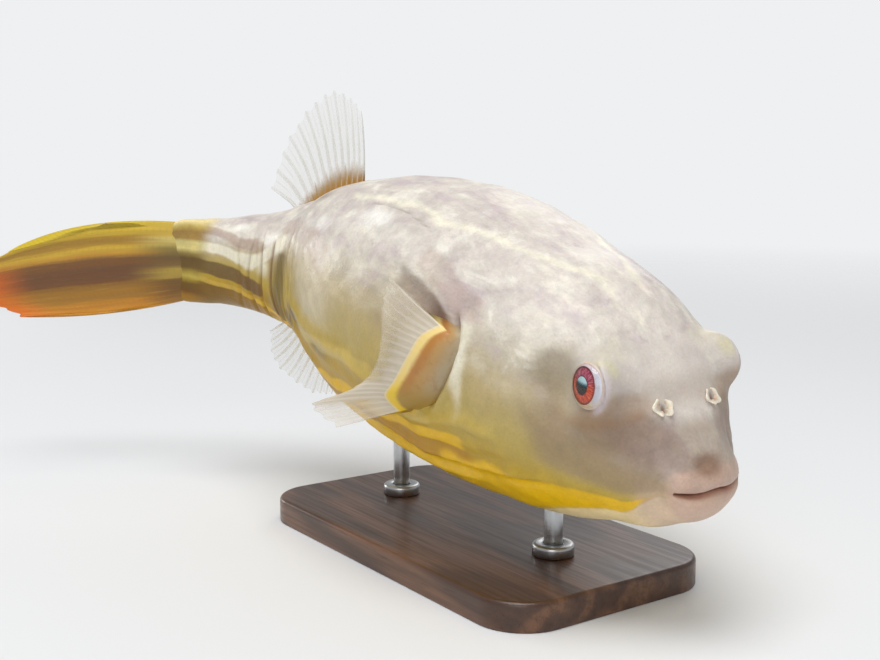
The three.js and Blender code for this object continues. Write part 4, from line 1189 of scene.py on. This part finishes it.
def shape_base():
    """Rounded slab: a rounded rectangle drawn in and raised along an eased-edge profile."""
    turn = np.linspace(0, np.pi / 2, 25)
    bevel = np.linspace(0, np.pi / 2, 9)
    insets = np.concatenate([[19, 4, 0.9], FOOT_BEVEL * (1 - np.sin(bevel[::4])), [0, 0],
                             BASE_BEVEL * (1 - np.cos(bevel)), [BASE_BEVEL + 0.4, 6, 20]])
    heights = np.concatenate([[0, 0, 0], FOOT_BEVEL * (1 - np.cos(bevel[::4])),
                              [2 * FOOT_BEVEL, BASE_HEIGHT - BASE_BEVEL - 0.5],
                              BASE_HEIGHT - BASE_BEVEL * (1 - np.sin(bevel)), [BASE_HEIGHT] * 3])
    radius = BASE_CORNER - insets[:, None]
    corners = [(1, 1, turn), (-1, 1, turn + np.pi / 2), (-1, -1, turn + np.pi),
               (1, -1, turn + 1.5 * np.pi)]
    outline = [np.stack([x * (BASE_WIDTH / 2 - BASE_CORNER) + radius * np.cos(bend),
                         y * (BASE_LENGTH / 2 - BASE_CORNER) + radius * np.sin(bend),
                         heights[:, None] + 0 * bend], axis=-1) for x, y, bend in corners]
    return tube_mesh("stand_base_slab", np.concatenate(outline, axis=1)[:, ::-1] * MM)


def shape_rod(name, along_y, top):
    """Round bar with both ends slightly eased."""
    shy = ROD_RADIUS - ROD_EASE
    return lathe(name, [(shy, ROD_SEAT), (ROD_RADIUS, ROD_SEAT + ROD_EASE), (ROD_RADIUS, top / 2),
                        (ROD_RADIUS, top - ROD_EASE), (shy, top)], along_y)


def shape_collar(name, along_y):
    """Ring round the rod's foot, its upper outer edge rounded, open in the middle for the rod."""
    inner, outer, ease = ROD_RADIUS + 0.3, COLLAR_RADIUS, COLLAR_CHAMFER
    foot, top = COLLAR_FOOT, COLLAR_FOOT + COLLAR_HEIGHT
    bend = np.linspace(0, np.pi / 2, 7)
    rounded = zip(outer - ease * (1 - np.cos(bend)), top - ease * (1 - np.sin(bend)))
    profile = [(inner, foot), (outer - 0.3, foot), (outer, foot + 0.3), (outer, top - ease - 0.2),
               *rounded, (inner + 0.6, top), (inner, top - 0.5), (inner, foot + 0.2)]
    return lathe(name, profile, along_y)


def paint_base():
    """Dark oiled walnut: long wavering grain with fine open pores, satin."""
    mat = Finish("oiled walnut", Roughness=0.38, Coat_Weight=0.2, Coat_Roughness=0.2)
    here = mat.object_place()
    warp = mat.noise(mat.stretched(here, (14.0, 2.2, 14.0)), 1.0, 3, 0.5)
    rings = mat.math("SINE", mat.times(warp, 64.0))
    grain = mat.noise(mat.stretched(here, (420.0, 16.0, 420.0)), 1.0, 4, 0.6)
    pores = mat.noise(mat.stretched(here, (1400.0, 60.0, 1400.0)), 1.0, 2, 0.5)
    colour = mat.mix(mat.span(rings, -1.0, 1.0), (74, 48, 34), (112, 76, 52))
    colour = mat.mix(mat.span(grain, 0.35, 0.7, 0.0, 0.55), colour, (56, 36, 26))
    colour = mat.mix(mat.span(pores, 0.6, 0.72, 0.0, 0.6), colour, (36, 24, 18))
    return mat.use(Base_Color=colour, Roughness=mat.span(grain, 0.3, 0.7, 0.32, 0.46),
                   Normal=mat.bump(pores, 0.2, 0.0003))


def paint_steel():
    """Brushed stainless steel: fine turned scratches round the rod, softly uneven gloss."""
    mat = Finish("brushed steel", Metallic=1.0)
    here = mat.object_place()
    scratches = mat.noise(mat.stretched(here, (60.0, 60.0, 5200.0)), 1.0, 3, 0.6)
    smudge = mat.noise(here, 90, 3, 0.5)
    colour = mat.mix(mat.span(smudge, 0.35, 0.7), (186, 188, 190), (204, 205, 206))
    turned = mat.span(scratches, 0.3, 0.7, 0.26, 0.36)
    return mat.use(Base_Color=colour, Roughness=mat.plus(turned, mat.span(smudge, 0.3, 0.7, 0.0, 0.05)),
                   Normal=mat.bump(scratches, 0.02, 0.0001))


place(shape_base(), paint_base(), "stand_wood", "stand_base")
steel = paint_steel()
for rod_name, (rod_y, belly) in RODS.items():
    place(shape_rod(f"stand_rod_{rod_name}_bar", rod_y, belly + ROD_BITE), steel, "stand_steel",
          f"stand_rod_{rod_name}")
    place(shape_collar(f"stand_collar_{rod_name}_ring", rod_y), steel, "stand_steel",
          f"stand_collar_{rod_name}")


# ---------------------------------------------------------------- studio
BACKDROP, UNSEEN_STRENGTH = (0.86, 0.87, 0.88, 1.0), 0.5      # its strength where it only gives light
FLOOR_RADIUS, FADE_START, FADE_END = 6.0, 0.5, 2.2
MODEL_MIDDLE = (0, 0, 0.1)
# Place, what it is aimed at, width in metres and power in watts.
LAMPS = {"overhead": ((-0.35, -0.25, 1.5), MODEL_MIDDLE, 1.1, 15),
         "front fill": ((-1.3, -1.2, 0.7), MODEL_MIDDLE, 1.0, 5.5),
         "far side": ((1.4, 0.9, 1.0), MODEL_MIDDLE, 1.0, 4.5),
         "eye light": ((-0.35, 1.3, 0.3), (-0.03, -0.1, 0.1), 0.25, 2.0)}
CAMERA_FROM_LIPS = (-320.9, -281.4, 98.2)
CAMERA_LOOK = (0.571, 0.809, -0.139)
SENSOR_WIDTH, LENS_LENGTH = 36.0, 49.091


def lay_floor():
    """Wide pale disc that fades into the backdrop's own colour away from the model."""
    angle = np.linspace(0, 2 * np.pi, 128, endpoint=False)
    rim = FLOOR_RADIUS * np.stack([np.cos(angle), np.sin(angle), 0 * angle], axis=-1)
    floor = build_mesh("floor", rim, [list(range(len(rim)))])
    mat = Finish("pale floor", Roughness=0.9, Base_Color=(0.8, 0.81, 0.82, 1.0))
    distance = mat.node("VectorMath", {0: mat.object_place()}, operation="LENGTH").outputs["Value"]
    floor.data.materials.append(mat.use(Alpha=mat.span(distance, FADE_START, FADE_END, 1.0, 0.0)))


def set_up(name, data, location, look):
    """Puts a lamp or camera in the scene, turned to look along a direction."""
    made = bpy.data.objects.new(name, data)
    made.location = location
    made.rotation_euler = Vector(look).to_track_quat("-Z", "Y").to_euler()
    bpy.context.scene.collection.objects.link(made)
    return made


def light_studio():
    """Even pale surround, brighter where it is looked at, and the soft lamps."""
    world = bpy.data.worlds.new("studio")
    bpy.context.scene.world = world
    world.use_nodes = True
    tree = world.node_tree
    tree.nodes.clear()
    ray = add_node(tree, "ShaderNodeLightPath").outputs
    seen = add_node(tree, "ShaderNodeMath", {0: ray["Is Camera Ray"], 1: ray["Is Transmission Ray"]},
                    operation="MAXIMUM")
    strength = add_node(tree, "ShaderNodeMapRange", {"Value": seen.outputs[0], "To Min": UNSEEN_STRENGTH,
                                                     "To Max": 1.0})
    surround = add_node(tree, "ShaderNodeBackground", {"Color": BACKDROP,
                                                       "Strength": strength.outputs[0]})
    add_node(tree, "ShaderNodeOutputWorld", {0: surround.outputs[0]})
    for name, (location, aim, width, power) in LAMPS.items():
        lamp = bpy.data.lights.new(name, "AREA")
        lamp.shape, lamp.size, lamp.energy = "DISK", width, power
        set_up(name, lamp, location, Vector(aim) - Vector(location))


lay_floor()
light_studio()

camera = bpy.data.cameras.new("camera")
camera.sensor_width, camera.lens = SENSOR_WIDTH, LENS_LENGTH
bpy.context.scene.camera = set_up("camera", camera, (BODY_PLACE + CAMERA_FROM_LIPS) * MM, CAMERA_LOOK)
bpy.context.scene.view_settings.view_transform = "Standard"
